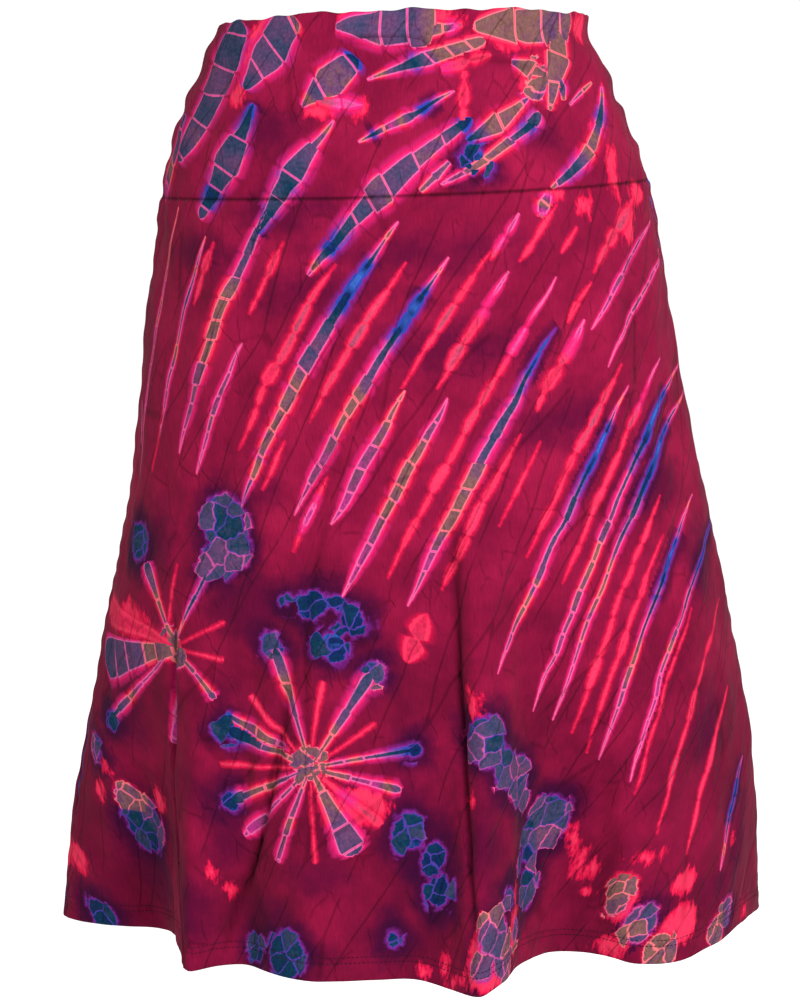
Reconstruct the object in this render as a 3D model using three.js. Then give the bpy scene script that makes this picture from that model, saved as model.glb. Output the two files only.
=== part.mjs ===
// A midi skirt in tie-dyed cotton jersey, in the hollow form that it takes when it is worn: a wide
// double-layer waistband and a flared skirt, each cut as a front and a back and sewn at the sides.
//
// Millimetres, +Z up, front towards -Y, left and right as seen from the front. The origin is the
// middle of the waist, a little under the band's folded top edge. A level is a height on the body's
// own axis; the rows of the cloth tilt, bow and drop a little from it.

import * as THREE from "three";

// ---- Driving dimensions ----------------------------------------------------------------------

const BAND_TOP = 9; // level of the folded top edge
const YOKE_SEAM = -104; // level of the seam between band and skirt
const HEM_EDGE = -616; // level of the hem
const HEM_DEPTH = 16; // width of the hem's turn-up
const SEAM_GAP = 0.3; // between two pieces that are sewn together
const SIDE_SEAM_Y = 6; // the side seams lie a little behind the middle
const SQUARENESS = 2.15; // 2 is an ellipse, more is a fuller outline

const BAND_WALL = 2.4; // two layers of jersey
const SKIRT_WALL = 1.5; // one layer of jersey
const HEM_WALL = 2.6; // the hem, turned up inside
const FOLDED_EDGE = 1; // how far a folded edge rounds out

const SOFT_OPENING = 0.35; // share of a fold's depth that opens and closes softly
const FOLD_WIDENING = 1.35; // 1 is a straight cone, more keeps the fold narrow at first

const BAND_ROWS = 4; // strips from the top edge to the yoke seam
const SKIRT_ROWS = 15; // strips from the yoke seam to the turn-up
const COLUMNS = 60; // strips across each panel
const FOLD_CROWDING = 22; // a curve of this radius has twice the strips of a flat stretch
const FINE_STEPS = 480; // steps across a panel while a row is worked out
const BEND_STEPS = 4; // the steps on each side of a point over which its bend is measured

// Names the columns of a table of sizes.
const table = (columns, rows) =>
  rows.map((row) => Object.fromEntries(columns.map((name, i) => [name, row[i]])));

// The smooth form under the folds: how far the cloth reaches to each side at each level.
const FORM = table(["level", "left", "right", "front", "back"], [
  [9, 127, 130, 96, 91],
  [-8, 134, 131, 99, 95],
  [-24, 140, 142, 102, 100],
  [-42, 149, 148, 106, 106],
  [-70, 159, 160, 112, 117],
  [-104, 166, 172, 118, 128],
  [-140, 170, 179, 122, 137],
  [-182, 176, 186, 125, 142],
  [-252, 183, 197, 128, 146],
  [-322, 191, 213, 131, 149],
  [-392, 203, 228, 135, 153],
  [-462, 212, 240, 139, 158],
  [-532, 220, 248, 143, 163],
  [-616, 225, 252, 148, 168],
]);

// How the rows lie: slope is the rise towards the right, bow is the rise at the middle of the
// front and of the back.
const LIE = table(["level", "slope", "bow"], [
  [9, 0.026, 6.5],
  [-104, 0.036, -3],
  [-252, 0.032, -1],
  [-616, 0.018, 0],
]);

// The crests and valleys of the folds. x and y are their place at the hem, drop is how far the
// hem hangs down there, start is the level where the fold begins and from is its x at that level.
const FOLD_COLUMNS = ["x", "y", "drop", "start", "from"];
const FRONT_FOLDS = table(FOLD_COLUMNS, [
  [-238, 8, 0, -300, -190], // left side seam
  [-206, -16, 2, -330, -178],
  [-176, -18, 3, -350, -165],
  [-157, -45, 2, -370, -154],
  [-152, -95, 0, -370, -145],
  [-142, -130, 9, -370, -134],
  [-124, -124, 7, -370, -121],
  [-106, -114, 8, -370, -100],
  [-88, -138, 9, -330, -80],
  [-60, -156, 11, -300, -55],
  [-20, -156, 11, -300, -15],
  [14, -154, 12, -220, 14],
  [34, -164, 16, -220, 28],
  [55, -190, 15, -220, 42],
  [70, -172, 10, -250, 58],
  [86, -124, 6, -300, 75],
  [110, -98, 7, -330, 98],
  [134, -104, 8, -330, 118],
  [160, -122, 11, -330, 138],
  [190, -112, 12, -330, 155],
  [216, -84, 6, -330, 172],
  [243, -36, 0, -330, 190],
  [256, 20, 3, -330, 205], // right side seam
]);
const BACK_FOLDS = table(FOLD_COLUMNS, [
  [256, 20, 3, -330, 205], // right side seam
  [244, 74, 5, -330, 196],
  [210, 104, 6, -330, 172],
  [178, 108, 4, -300, 150],
  [152, 138, 6, -280, 128],
  [128, 176, 10, -260, 108],
  [104, 166, 8, -260, 90],
  [84, 138, 4, -280, 72],
  [58, 142, 4, -300, 50],
  [34, 176, 9, -280, 28],
  [4, 186, 10, -260, 3],
  [-26, 164, 7, -280, -22],
  [-50, 140, 4, -300, -44],
  [-78, 150, 6, -300, -66],
  [-104, 178, 10, -280, -88],
  [-130, 164, 8, -280, -110],
  [-150, 128, 4, -300, -128],
  [-178, 112, 4, -330, -150],
  [-208, 96, 6, -330, -168],
  [-232, 56, 3, -330, -184],
  [-238, 8, 0, -300, -190], // left side seam
]);
const PANELS = [
  { side: "front", folds: FRONT_FOLDS },
  { side: "back", folds: BACK_FOLDS },
];
const BAND_COLOR = 0x7d1b42;
const SKIRT_COLOR = 0x8b183e;

// ---- Curves ----------------------------------------------------------------------------------

const { clamp, lerp } = THREE.MathUtils;
const signedPower = (base, exponent) => Math.sign(base) * Math.abs(base) ** exponent;
const evenShares = (steps) => Array.from({ length: steps + 1 }, (_, i) => i / steps);
const column = (rows, name) => rows.map((row) => row[name]);

// A smooth curve through values[i] at knots[i]; each slope weighs the two stretches beside it.
function curve(knots, values) {
  const last = knots.length - 1;
  const pace = (i) => (values[i + 1] - values[i]) / (knots[i + 1] - knots[i]);
  const slopes = knots.map((knot, i) => {
    const before = i > 0 ? knot - knots[i - 1] : 0;
    const after = i < last ? knots[i + 1] - knot : 0;
    const paceBefore = pace(Math.max(i - 1, 0));
    const paceAfter = pace(Math.min(i, last - 1));
    return (paceBefore * after + paceAfter * before) / (before + after);
  });
  return (at) => {
    const i = clamp(knots.findLastIndex((knot) => knot <= at), 0, last - 1);
    const span = knots[i + 1] - knots[i];
    const t = (at - knots[i]) / span;
    const rest = 1 - t;
    const hold = rest * rest * (1 + 2 * t) * values[i] + t * t * (3 - 2 * t) * values[i + 1];
    return hold + span * t * rest * (rest * slopes[i] - t * slopes[i + 1]);
  };
}

// A column of a table that starts at the top, as a curve over the level.
function overLevel(rows, name) {
  const upwards = [...rows].reverse();
  return curve(column(upwards, "level"), column(upwards, name));
}

// How much of a path's length is behind each of its points, from 0 to 1, measured in plan.
function shareOfLength(path) {
  const lengths = [0];
  for (let i = 1; i < path.length; i += 1) {
    lengths.push(lengths[i - 1] + Math.hypot(path[i].x - path[i - 1].x, path[i].y - path[i - 1].y));
  }
  return lengths.map((length) => length / lengths.at(-1));
}

// The points of a path at the given shares of its length.
function spread(path, shares) {
  const along = shareOfLength(path);
  let i = 0;
  return shares.map((share) => {
    while (i < along.length - 2 && along[i + 1] < share) {
      i += 1;
    }
    return path[i].clone().lerp(path[i + 1], (share - along[i]) / (along[i + 1] - along[i]));
  });
}

// ---- The draped cloth ------------------------------------------------------------------------

const form = {
  left: overLevel(FORM, "left"),
  right: overLevel(FORM, "right"),
  front: overLevel(FORM, "front"),
  back: overLevel(FORM, "back"),
};
const slopeAt = overLevel(LIE, "slope");
const bowAt = overLevel(LIE, "bow");

// The smooth form's outline at a level, over one panel. The front runs left to right and the back
// right to left, so that the two make one closed round.
function outline(side, level) {
  const middle = (form.right(level) - form.left(level)) / 2;
  const half = (form.right(level) + form.left(level)) / 2;
  const turn = side === "front" ? -1 : 1;
  const depth = side === "front" ? -form.front(level) - SIDE_SEAM_Y : form.back(level) - SIDE_SEAM_Y;
  const path = evenShares(FINE_STEPS).map((share) => {
    const angle = Math.PI * share;
    const across = signedPower(Math.cos(angle), 2 / SQUARENESS);
    const out = Math.abs(Math.sin(angle)) ** (2 / SQUARENESS);
    return new THREE.Vector3(middle + turn * half * across, SIDE_SEAM_Y + depth * out, level);
  });
  return spread(path, evenShares(FINE_STEPS));
}

// A point of such an outline, at any share of its length.
function pointOn(path, share) {
  const place = clamp(share, 0, 1) * FINE_STEPS;
  const i = Math.min(Math.floor(place), FINE_STEPS - 1);
  return path[i].clone().lerp(path[i + 1], place - i);
}

// Where a fold sits on its panel, as a share of the panel's width: at the hem by the hem's own
// length, and at its start by its x on the smooth form.
function placeFolds({ side, folds }) {
  const hem = folds.map(({ x, y }) => new THREE.Vector3(x, y, HEM_EDGE));
  const hemOutline = outline(side, HEM_EDGE);
  const atHem = shareOfLength(hem);
  return folds.map((fold, i) => {
    const startOutline = outline(side, fold.start);
    const passes = (point) => (side === "front" ? point.x >= fold.from : point.x <= fold.from);
    const isSeam = i === 0 || i === folds.length - 1;
    const atStart = isSeam ? atHem[i] : startOutline.findIndex(passes) / FINE_STEPS;
    const smooth = pointOn(hemOutline, atHem[i]);
    return { ...fold, atStart, atHem: atHem[i], dx: fold.x - smooth.x, dy: fold.y - smooth.y };
  });
}
const placed = PANELS.map(placeFolds);

// A fold's growth from 0 at its start to 1 at the hem: it opens softly and widens all the way down.
const grown = (t) =>
  SOFT_OPENING * t * t * (3 - 2 * t) + (1 - SOFT_OPENING) * t ** FOLD_WIDENING;

// What the folds add to the smooth form at a level, as curves over the way round: 0 to 1 on the
// front and 1 to 2 on the back. The last folds of each panel lead into the other one.
function foldCurves(level) {
  const round = placed.flatMap((folds, panel) =>
    folds.slice(0, -1).map((fold) => {
      const t = clamp((fold.start - level) / (fold.start - HEM_EDGE), 0, 1);
      const share = lerp(fold.atStart, fold.atHem, t);
      return { at: panel + share, x: fold.dx * grown(t), y: fold.dy * grown(t), z: -fold.drop * grown(t) };
    }),
  );
  const before = round.slice(-2).map((knot) => ({ ...knot, at: knot.at - 2 }));
  const after = round.slice(0, 3).map((knot) => ({ ...knot, at: knot.at + 2 }));
  const knots = [...before, ...round, ...after];
  return ["x", "y", "z"].map((axis) => curve(column(knots, "at"), column(knots, axis)));
}

// One row of cloth over a panel, at a level, as points at the given shares of its length.
function clothRow(panel, level, shares) {
  const smooth = outline(PANELS[panel].side, level);
  const [foldX, foldY, foldZ] = foldCurves(level);
  const slope = slopeAt(level);
  const bow = bowAt(level);
  const path = smooth.map((point, i) => {
    const share = i / FINE_STEPS;
    const x = point.x + foldX(panel + share);
    const y = point.y + foldY(panel + share);
    const z = level + slope * x + bow * Math.sin(Math.PI * share) + foldZ(panel + share);
    return new THREE.Vector3(x, y, z);
  });
  return spread(path, shares);
}

// The shares at which a panel's columns stand, closer together where the hem curves sharply.
function columnShares(panel) {
  const hem = clothRow(panel, HEM_EDGE, evenShares(FINE_STEPS));
  const crowding = [0];
  for (let i = 1; i <= FINE_STEPS; i += 1) {
    const here = clamp(i, BEND_STEPS, FINE_STEPS - BEND_STEPS);
    const behind = hem[here].clone().sub(hem[here - BEND_STEPS]).setZ(0);
    const ahead = hem[here + BEND_STEPS].clone().sub(hem[here]).setZ(0);
    const curvature = behind.angleTo(ahead) / ahead.length();
    crowding.push(crowding[i - 1] + 1 + FOLD_CROWDING * curvature);
  }
  return evenShares(COLUMNS).map((share) => {
    const i = crowding.findIndex((sum) => sum >= share * crowding.at(-1));
    return i / FINE_STEPS;
  });
}
const shares = [columnShares(0), columnShares(1)];

// A level's whole round, front then back, without a second point on the seams.
const wholeRound = (level) => shares.flatMap((list, panel) => clothRow(panel, level, list).slice(0, -1));

// ---- Walls -----------------------------------------------------------------------------------

// The outward direction at each point of a stack of rounds.
function outward(rounds) {
  const last = rounds.length - 1;
  return rounds.map((round, j) =>
    round.map((_, i) => {
      const ahead = round[(i + 1) % round.length];
      const behind = round.at(i - 1);
      const above = rounds[Math.max(j - 1, 0)][i];
      const below = rounds[Math.min(j + 1, last)][i];
      const across = ahead.clone().sub(behind);
      const down = below.clone().sub(above);
      return down.cross(across).normalize();
    }),
  );
}

// A front and a back piece as closed walls. levels run from the upper edge to the lower one and
// hold the wall's thickness at each; a folded edge is rounded out, a sewn one is square.
function panelPair(levels, roundTop, roundBottom) {
  const rounds = levels.map(({ level }) => wholeRound(level));
  const normals = outward(rounds);
  const inner = rounds.map((round, j) =>
    round.map((point, i) => point.clone().addScaledVector(normals[j][i], -levels[j].wall)),
  );
  const last = levels.length - 1;
  const edge = (j, neighbour, bulge) =>
    rounds[j].map((point, i) => {
      const away = point.clone().sub(rounds[neighbour][i]).setLength(bulge);
      return point.clone().lerp(inner[j][i], 0.5).add(away);
    });
  const topEdge = edge(0, 1, roundTop);
  const bottomEdge = edge(last, last - 1, roundBottom);
  const section = [topEdge, ...rounds, bottomEdge, ...inner.reverse()];
  return PANELS.map((_, panel) => closedWall(section, panel));
}

// One panel's share of a section of rounds that closes on itself, with the two ends filled in.
function closedWall(section, panel) {
  const first = panel * COLUMNS;
  const positions = [];
  for (const round of section) {
    const points = evenShares(COLUMNS).map((_, i) => round[(first + i) % round.length].clone());
    const start = points[1].clone().sub(points[0]);
    const end = points.at(-2).clone().sub(points.at(-1));
    points[0].add(start.setLength(SEAM_GAP / 2));
    points.at(-1).add(end.setLength(SEAM_GAP / 2));
    positions.push(...points.flatMap((point) => point.toArray()));
  }
  const rows = section.length;
  const index = (row, i) => (row % rows) * (COLUMNS + 1) + i;
  const faces = [];
  for (let row = 0; row < rows; row += 1) {
    for (let i = 0; i < COLUMNS; i += 1) {
      const corners = [index(row, i), index(row + 1, i), index(row + 1, i + 1), index(row, i + 1)];
      // The inner rows run upwards, so a facet is split the other way there to match its outer one.
      if (row >= rows / 2) {
        corners.push(corners.shift());
      }
      const [a, b, c, d] = corners;
      faces.push(a, b, c, a, c, d);
    }
  }
  for (let row = 1; row < rows / 2; row += 1) {
    const opposite = rows - row;
    faces.push(index(row - 1, 0), index(opposite, 0), index(row, 0));
    faces.push(index(row - 1, COLUMNS), index(row, COLUMNS), index(opposite, COLUMNS));
    faces.push(index(row, 0), index(opposite, 0), index(opposite - 1, 0));
    faces.push(index(row, COLUMNS), index(opposite - 1, COLUMNS), index(opposite, COLUMNS));
  }
  const geometry = new THREE.BufferGeometry();
  geometry.setAttribute("position", new THREE.Float32BufferAttribute(positions, 3));
  geometry.setIndex(faces);
  geometry.computeVertexNormals();
  return geometry;
}

// ---- The pieces ------------------------------------------------------------------------------

const skirt = new THREE.Group();

// Dyed jersey, with no shine.
const jersey = (color) => new THREE.MeshStandardMaterial({ color, roughness: 0.9, metalness: 0 });

function addPair(names, geometries, color) {
  names.forEach((name, i) => {
    const mesh = new THREE.Mesh(geometries[i], jersey(color));
    mesh.name = name;
    skirt.add(mesh);
  });
}

// Waistband: a wide band of doubled jersey, folded at its top edge and sewn to the skirt below.
const bandLevels = evenShares(BAND_ROWS).map((share) => ({
  level: lerp(BAND_TOP, YOKE_SEAM + SEAM_GAP / 2, share),
  wall: BAND_WALL,
}));
const bands = panelPair(bandLevels, FOLDED_EDGE, 0);
addPair(["waistband_front", "waistband_back"], bands, BAND_COLOR);

// Skirt: one layer of jersey that flares into folds, with its hem turned up inside.
const turnUp = HEM_EDGE + HEM_DEPTH;
const skirtLevels = evenShares(SKIRT_ROWS).map((share) => ({
  level: lerp(YOKE_SEAM - SEAM_GAP / 2, turnUp, share),
  wall: SKIRT_WALL,
}));
skirtLevels.push({ level: turnUp - 1, wall: HEM_WALL });
skirtLevels.push({ level: HEM_EDGE + FOLDED_EDGE, wall: HEM_WALL });
const skirts = panelPair(skirtLevels, 0, FOLDED_EDGE);
addPair(["skirt_front", "skirt_back"], skirts, SKIRT_COLOR);

export default skirt;
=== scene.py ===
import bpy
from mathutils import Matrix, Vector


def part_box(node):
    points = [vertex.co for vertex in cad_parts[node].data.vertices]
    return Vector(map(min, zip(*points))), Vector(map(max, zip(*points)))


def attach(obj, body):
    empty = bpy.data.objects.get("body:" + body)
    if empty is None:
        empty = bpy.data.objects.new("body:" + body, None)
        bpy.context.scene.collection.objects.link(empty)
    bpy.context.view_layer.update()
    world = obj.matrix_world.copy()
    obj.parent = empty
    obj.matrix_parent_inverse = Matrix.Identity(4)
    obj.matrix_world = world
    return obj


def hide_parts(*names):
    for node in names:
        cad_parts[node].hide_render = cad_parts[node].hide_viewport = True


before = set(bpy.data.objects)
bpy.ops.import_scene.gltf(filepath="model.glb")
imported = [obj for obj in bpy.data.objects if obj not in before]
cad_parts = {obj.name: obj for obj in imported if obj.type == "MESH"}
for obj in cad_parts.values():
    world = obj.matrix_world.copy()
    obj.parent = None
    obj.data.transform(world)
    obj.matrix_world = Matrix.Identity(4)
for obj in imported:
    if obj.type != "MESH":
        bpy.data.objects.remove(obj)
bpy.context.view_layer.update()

import bmesh
import bpy
import numpy as np
from mathutils import Vector

# ---- Skirt panels ------------------------------------------------------------------------------
# The skirt is a flared front and a flared back, each cut in one layer of cotton jersey. The side
# seams hold them together, a wide band carries them, and the hem is turned up inside. The cloth was
# crushed into pleats, tied and dyed, which left crimson ground and rows of cells where it was tied.

MM = 0.001
BAND_TOP = 9  # the folded top edge, in mm from the middle of the waist, up
YOKE_SEAM = -104  # the seam between band and skirt
HEM_EDGE = -616
TURN_UP = 16  # how far the hem is turned up inside
JERSEY = 0.9  # thickness of one layer
SIDE_SEAM_Y = 6  # the side seams lie a little behind the middle
SQUARENESS = 2.15  # 2 is an ellipse, more is a fuller outline
COLUMNS = 240  # strips across each panel
SKIRT_ROWS = 270  # strips down the skirt
BAND_ROWS = 60  # strips down the band
INSIDE_STEP = 4  # the inside has one row of points for so many outside
STEPS = np.linspace(0, 1, 481)
SLOW_GROWTH = 0.35  # share of a fold's growth that eases in and out; the rest grows steadily
GROWTH_POWER = 1.35

# How far the smooth form under the folds reaches: level, left, right, front, back.
FORM = [
    (9, 127, 130, 96, 91),
    (-8, 134, 131, 99, 95),
    (-24, 140, 142, 102, 100),
    (-42, 149, 148, 106, 106),
    (-70, 159, 160, 112, 117),
    (-104, 166, 172, 118, 128),
    (-140, 170, 179, 122, 137),
    (-182, 176, 186, 125, 142),
    (-252, 183, 197, 128, 146),
    (-322, 191, 213, 131, 149),
    (-392, 203, 228, 135, 153),
    (-462, 212, 240, 139, 158),
    (-532, 220, 248, 143, 163),
    (-616, 225, 252, 148, 168),
]
# How the rows of the cloth lie: level, rise towards the right, rise at the middle.
LIE = [(9, 0.026, 6.5), (-104, 0.036, -3), (-252, 0.032, -1), (-616, 0.018, 0)]
# Crests and valleys: x and y at the hem, how far the hem hangs down there, the level where the fold
# starts, and its x there. Each side starts and ends at a side seam.
FOLDS = {
    "front": [
        (-238, 8, 0, -300, -190),
        (-206, -16, 2, -330, -178),
        (-176, -18, 3, -350, -165),
        (-157, -45, 2, -370, -154),
        (-152, -95, 0, -370, -145),
        (-142, -130, 9, -370, -134),
        (-124, -124, 7, -370, -121),
        (-106, -114, 8, -370, -100),
        (-88, -138, 9, -330, -80),
        (-60, -156, 11, -300, -55),
        (-20, -156, 11, -300, -15),
        (14, -154, 12, -220, 14),
        (34, -164, 16, -220, 28),
        (55, -190, 15, -220, 42),
        (70, -172, 10, -250, 58),
        (86, -124, 6, -300, 75),
        (110, -98, 7, -330, 98),
        (134, -104, 8, -330, 118),
        (160, -122, 11, -330, 138),
        (190, -112, 12, -330, 155),
        (216, -84, 6, -330, 172),
        (243, -36, 0, -330, 190),
        (256, 20, 3, -330, 205),
    ],
    "back": [
        (256, 20, 3, -330, 205),
        (244, 74, 5, -330, 196),
        (210, 104, 6, -330, 172),
        (178, 108, 4, -300, 150),
        (152, 138, 6, -280, 128),
        (128, 176, 10, -260, 108),
        (104, 166, 8, -260, 90),
        (84, 138, 4, -280, 72),
        (58, 142, 4, -300, 50),
        (34, 176, 9, -280, 28),
        (4, 186, 10, -260, 3),
        (-26, 164, 7, -280, -22),
        (-50, 140, 4, -300, -44),
        (-78, 150, 6, -300, -66),
        (-104, 178, 10, -280, -88),
        (-130, 164, 8, -280, -110),
        (-150, 128, 4, -300, -128),
        (-178, 112, 4, -330, -150),
        (-208, 96, 6, -330, -168),
        (-232, 56, 3, -330, -184),
        (-238, 8, 0, -300, -190),
    ],
}


def curve(knots, values):
    """A smooth curve through the values at the knots; each slope weighs the stretches beside it."""
    knots, values = np.array(knots, float), np.array(values, float)
    gaps = np.diff(knots)
    paces = np.diff(values) / gaps
    before, after = np.append(0, gaps), np.append(gaps, 0)
    pace_before, pace_after = np.append(paces[0], paces), np.append(paces, paces[-1])
    slopes = (pace_before * after + pace_after * before) / (before + after)

    def at(places):
        i = np.clip(np.searchsorted(knots, places, side="right") - 1, 0, len(gaps) - 1)
        t = (places - knots[i]) / gaps[i]
        rest = 1 - t
        hold = rest * rest * (1 + 2 * t) * values[i] + t * t * (3 - 2 * t) * values[i + 1]
        return hold + gaps[i] * t * rest * (rest * slopes[i] - t * slopes[i + 1])

    return at


def over_level(rows, column):
    """A column of a table that starts at the top, as a curve over the level."""
    upwards = rows[::-1]
    return curve([row[0] for row in upwards], [row[column] for row in upwards])


def share_of_length(path):
    """How much of a path's length, in plan, is behind each of its points."""
    lengths = np.append(0, np.cumsum(np.hypot(*np.diff(path[:, :2], axis=0).T)))
    return lengths / lengths[-1]


def spread(path, shares):
    """The points of a path at the given shares of its length."""
    along = share_of_length(path)
    return np.stack([np.interp(shares, along, values) for values in path.T], 1)


reach = {side: over_level(FORM, i + 1) for i, side in enumerate(("left", "right", "front", "back"))}
slope_at, bow_at = over_level(LIE, 1), over_level(LIE, 2)


def outline(side, level):
    """The smooth form at a level: the front runs left to right, and the back right to left."""
    left, right = reach["left"](level), reach["right"](level)
    turn = -1 if side == "front" else 1
    depth = turn * reach[side](level) - SIDE_SEAM_Y
    cosine, sine = np.cos(np.pi * STEPS), np.sin(np.pi * STEPS)
    x = (right - left) / 2 + turn * (right + left) / 2 * np.sign(cosine) * abs(cosine) ** (2 / SQUARENESS)
    y = SIDE_SEAM_Y + depth * abs(sine) ** (2 / SQUARENESS)
    return spread(np.stack([x, y], 1), STEPS)


def place_folds(side):
    """Where each fold sits at its start and at the hem, and how far it leans off the smooth form."""
    folds = np.array(FOLDS[side], float)
    at_hem = share_of_length(folds)
    at_start = at_hem.copy()
    for i, (_, _, _, level, x) in enumerate(folds[1:-1], 1):
        along = outline(side, level)[:, 0]
        passed = along >= x if side == "front" else along <= x
        at_start[i] = STEPS[np.argmax(passed)]
    smooth = np.stack([np.interp(at_hem, STEPS, values) for values in outline(side, HEM_EDGE).T], 1)
    lean = np.column_stack([folds[:, :2] - smooth, -folds[:, 2]])
    return at_start[:-1], at_hem[:-1], lean[:-1], folds[:-1, 3]


placed_folds = [place_folds("front"), place_folds("back")]


def fold_curves(level):
    """What the folds add in x, y and z at a level, over the way round: front 0 to 1, back 1 to 2."""
    at, leans = [], []
    for panel, (at_start, at_hem, lean, start) in enumerate(placed_folds):
        t = np.clip((start - level) / (start - HEM_EDGE), 0, 1)
        growth = SLOW_GROWTH * t * t * (3 - 2 * t) + (1 - SLOW_GROWTH) * t**GROWTH_POWER
        at.append(panel + at_start + (at_hem - at_start) * t)
        leans.append(lean * growth[:, None])
    at, leans = np.concatenate(at), np.concatenate(leans)
    at = np.concatenate([at[-2:] - 2, at, at[:3] + 2])
    leans = np.concatenate([leans[-2:], leans, leans[:3]])
    return [curve(at, leans[:, axis]) for axis in range(3)]


def cloth_row(side, level, shares):
    """One row of cloth over a side, at the given shares of its length."""
    smooth = outline(side, level)
    place = STEPS + (side == "back")
    fold_x, fold_y, fold_z = fold_curves(level)
    x = smooth[:, 0] + fold_x(place)
    y = smooth[:, 1] + fold_y(place)
    z = level + slope_at(level) * x + bow_at(level) * np.sin(np.pi * STEPS) + fold_z(place)
    return spread(np.stack([x, y, z], 1), shares)


def outward(points):
    """The outward direction at each point of a grid of rows that run down, as seen from outside."""
    down, across = np.gradient(points, axis=0), np.gradient(points, axis=1)
    out = np.cross(down, across)
    return out / np.linalg.norm(out, axis=2, keepdims=True)


# The camera looks a little down on the skirt. Places on the cloth are charted as they are seen on a
# sheet that is held up at the waist, square to the line of sight: x to the right and z up, in mm.
CAMERA_PLACE = np.array([0, -2600, -42])
CAMERA_DIP = np.radians(6.15)
SHEET_DISTANCE = 2615
SHEET_MIDDLE = -322  # the z of the sheet that is in the middle of the view


def as_seen(points):
    """Where points of the cloth are seen on the sheet, and how far off they are."""
    offset = points - CAMERA_PLACE
    ahead = offset[..., 1] * np.cos(CAMERA_DIP) - offset[..., 2] * np.sin(CAMERA_DIP)
    up = offset[..., 1] * np.sin(CAMERA_DIP) + offset[..., 2] * np.cos(CAMERA_DIP)
    return SHEET_DISTANCE * offset[..., 0] / ahead, SHEET_MIDDLE + SHEET_DISTANCE * up / ahead, ahead


band_levels = np.linspace(BAND_TOP, YOKE_SEAM, BAND_ROWS + 1)
skirt_levels = np.linspace(YOKE_SEAM, HEM_EDGE, SKIRT_ROWS + 1)
levels = np.append(band_levels, skirt_levels[1:])
shares = np.linspace(0, 1, COLUMNS + 1)
sides = ("front", "back")
smooth_cloth = {side: np.array([cloth_row(side, level, shares) for level in levels]) for side in sides}


def cloth_places(points, side):
    """Places on the flat cloth in mm: s across from the middle, left is minus, and t down."""
    steps = np.linalg.norm(np.diff(points, axis=1), axis=2)
    s = np.cumsum(np.pad(steps, ((0, 0), (1, 0))), axis=1)
    s -= s[:, -1:] / 2
    drops = np.linalg.norm(np.diff(points, axis=0), axis=2)
    t = np.cumsum(np.pad(drops, ((1, 0), (0, 0))), axis=0)
    t -= t[BAND_ROWS]
    return (s if side == "front" else -s), t


places = {side: cloth_places(smooth_cloth[side], side) for side in sides}
seen_x, seen_z, seen_distance = as_seen(smooth_cloth["front"])
NEARER_COUNTS = 0.05  # how much a nearer layer of cloth is preferred, for each mm
CORNER_ROUNDS = 2  # how often the corners of a charted line are cut off


def on_cloth(x, z):
    """The place on the flat front of a point of the chart: the layer that is seen there."""
    misses = np.hypot(seen_x - x, seen_z - z) + NEARER_COUNTS * seen_distance
    j, i = np.unravel_index(np.argmin(misses), misses.shape)
    s, t = places["front"]
    return s[j, i], t[j, i]


def flowing_line(points):
    """A line of the chart on the flat cloth, with its corners cut off."""
    line = np.array([on_cloth(x, z) for x, z in points])
    for _ in range(CORNER_ROUNDS):
        inner = np.concatenate([line[:-1] * 0.75 + line[1:] * 0.25, line[:-1] * 0.25 + line[1:] * 0.75])
        order = np.arange(len(inner)).reshape(2, -1).T.ravel()
        line = np.concatenate([line[:1], inner[order], line[-1:]])
    return line


def beside_line(line, s, t, margin=25):
    """How far each place of the cloth is across a line and along it, and the line's length."""
    across = np.full(s.shape, 1e3)
    along = np.zeros(s.shape)
    low, high = line.min(0) - margin, line.max(0) + margin
    close = (s > low[0]) & (s < high[0]) & (t > low[1]) & (t < high[1])
    s, t = s[close], t[close]
    nearest, best_across, best_along = np.full(s.shape, 1e3), np.full(s.shape, 1e3), np.zeros(s.shape)
    run = 0
    for (s0, t0), (s1, t1) in zip(line[:-1], line[1:]):
        length = np.hypot(s1 - s0, t1 - t0)
        if length == 0:
            continue
        way_s, way_t = (s1 - s0) / length, (t1 - t0) / length
        ahead = np.clip((s - s0) * way_s + (t - t0) * way_t, 0, length)
        off_s, off_t = s - s0 - ahead * way_s, t - t0 - ahead * way_t
        distance = np.hypot(off_s, off_t)
        closer = distance < nearest
        hand = np.where(off_s * way_t >= off_t * way_s, 1, -1)
        nearest = np.where(closer, distance, nearest)
        best_across = np.where(closer, hand * distance, best_across)
        best_along = np.where(closer, run + ahead, best_along)
        run += length
    across[close], along[close] = best_across, best_along
    return across, along, run


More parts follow.
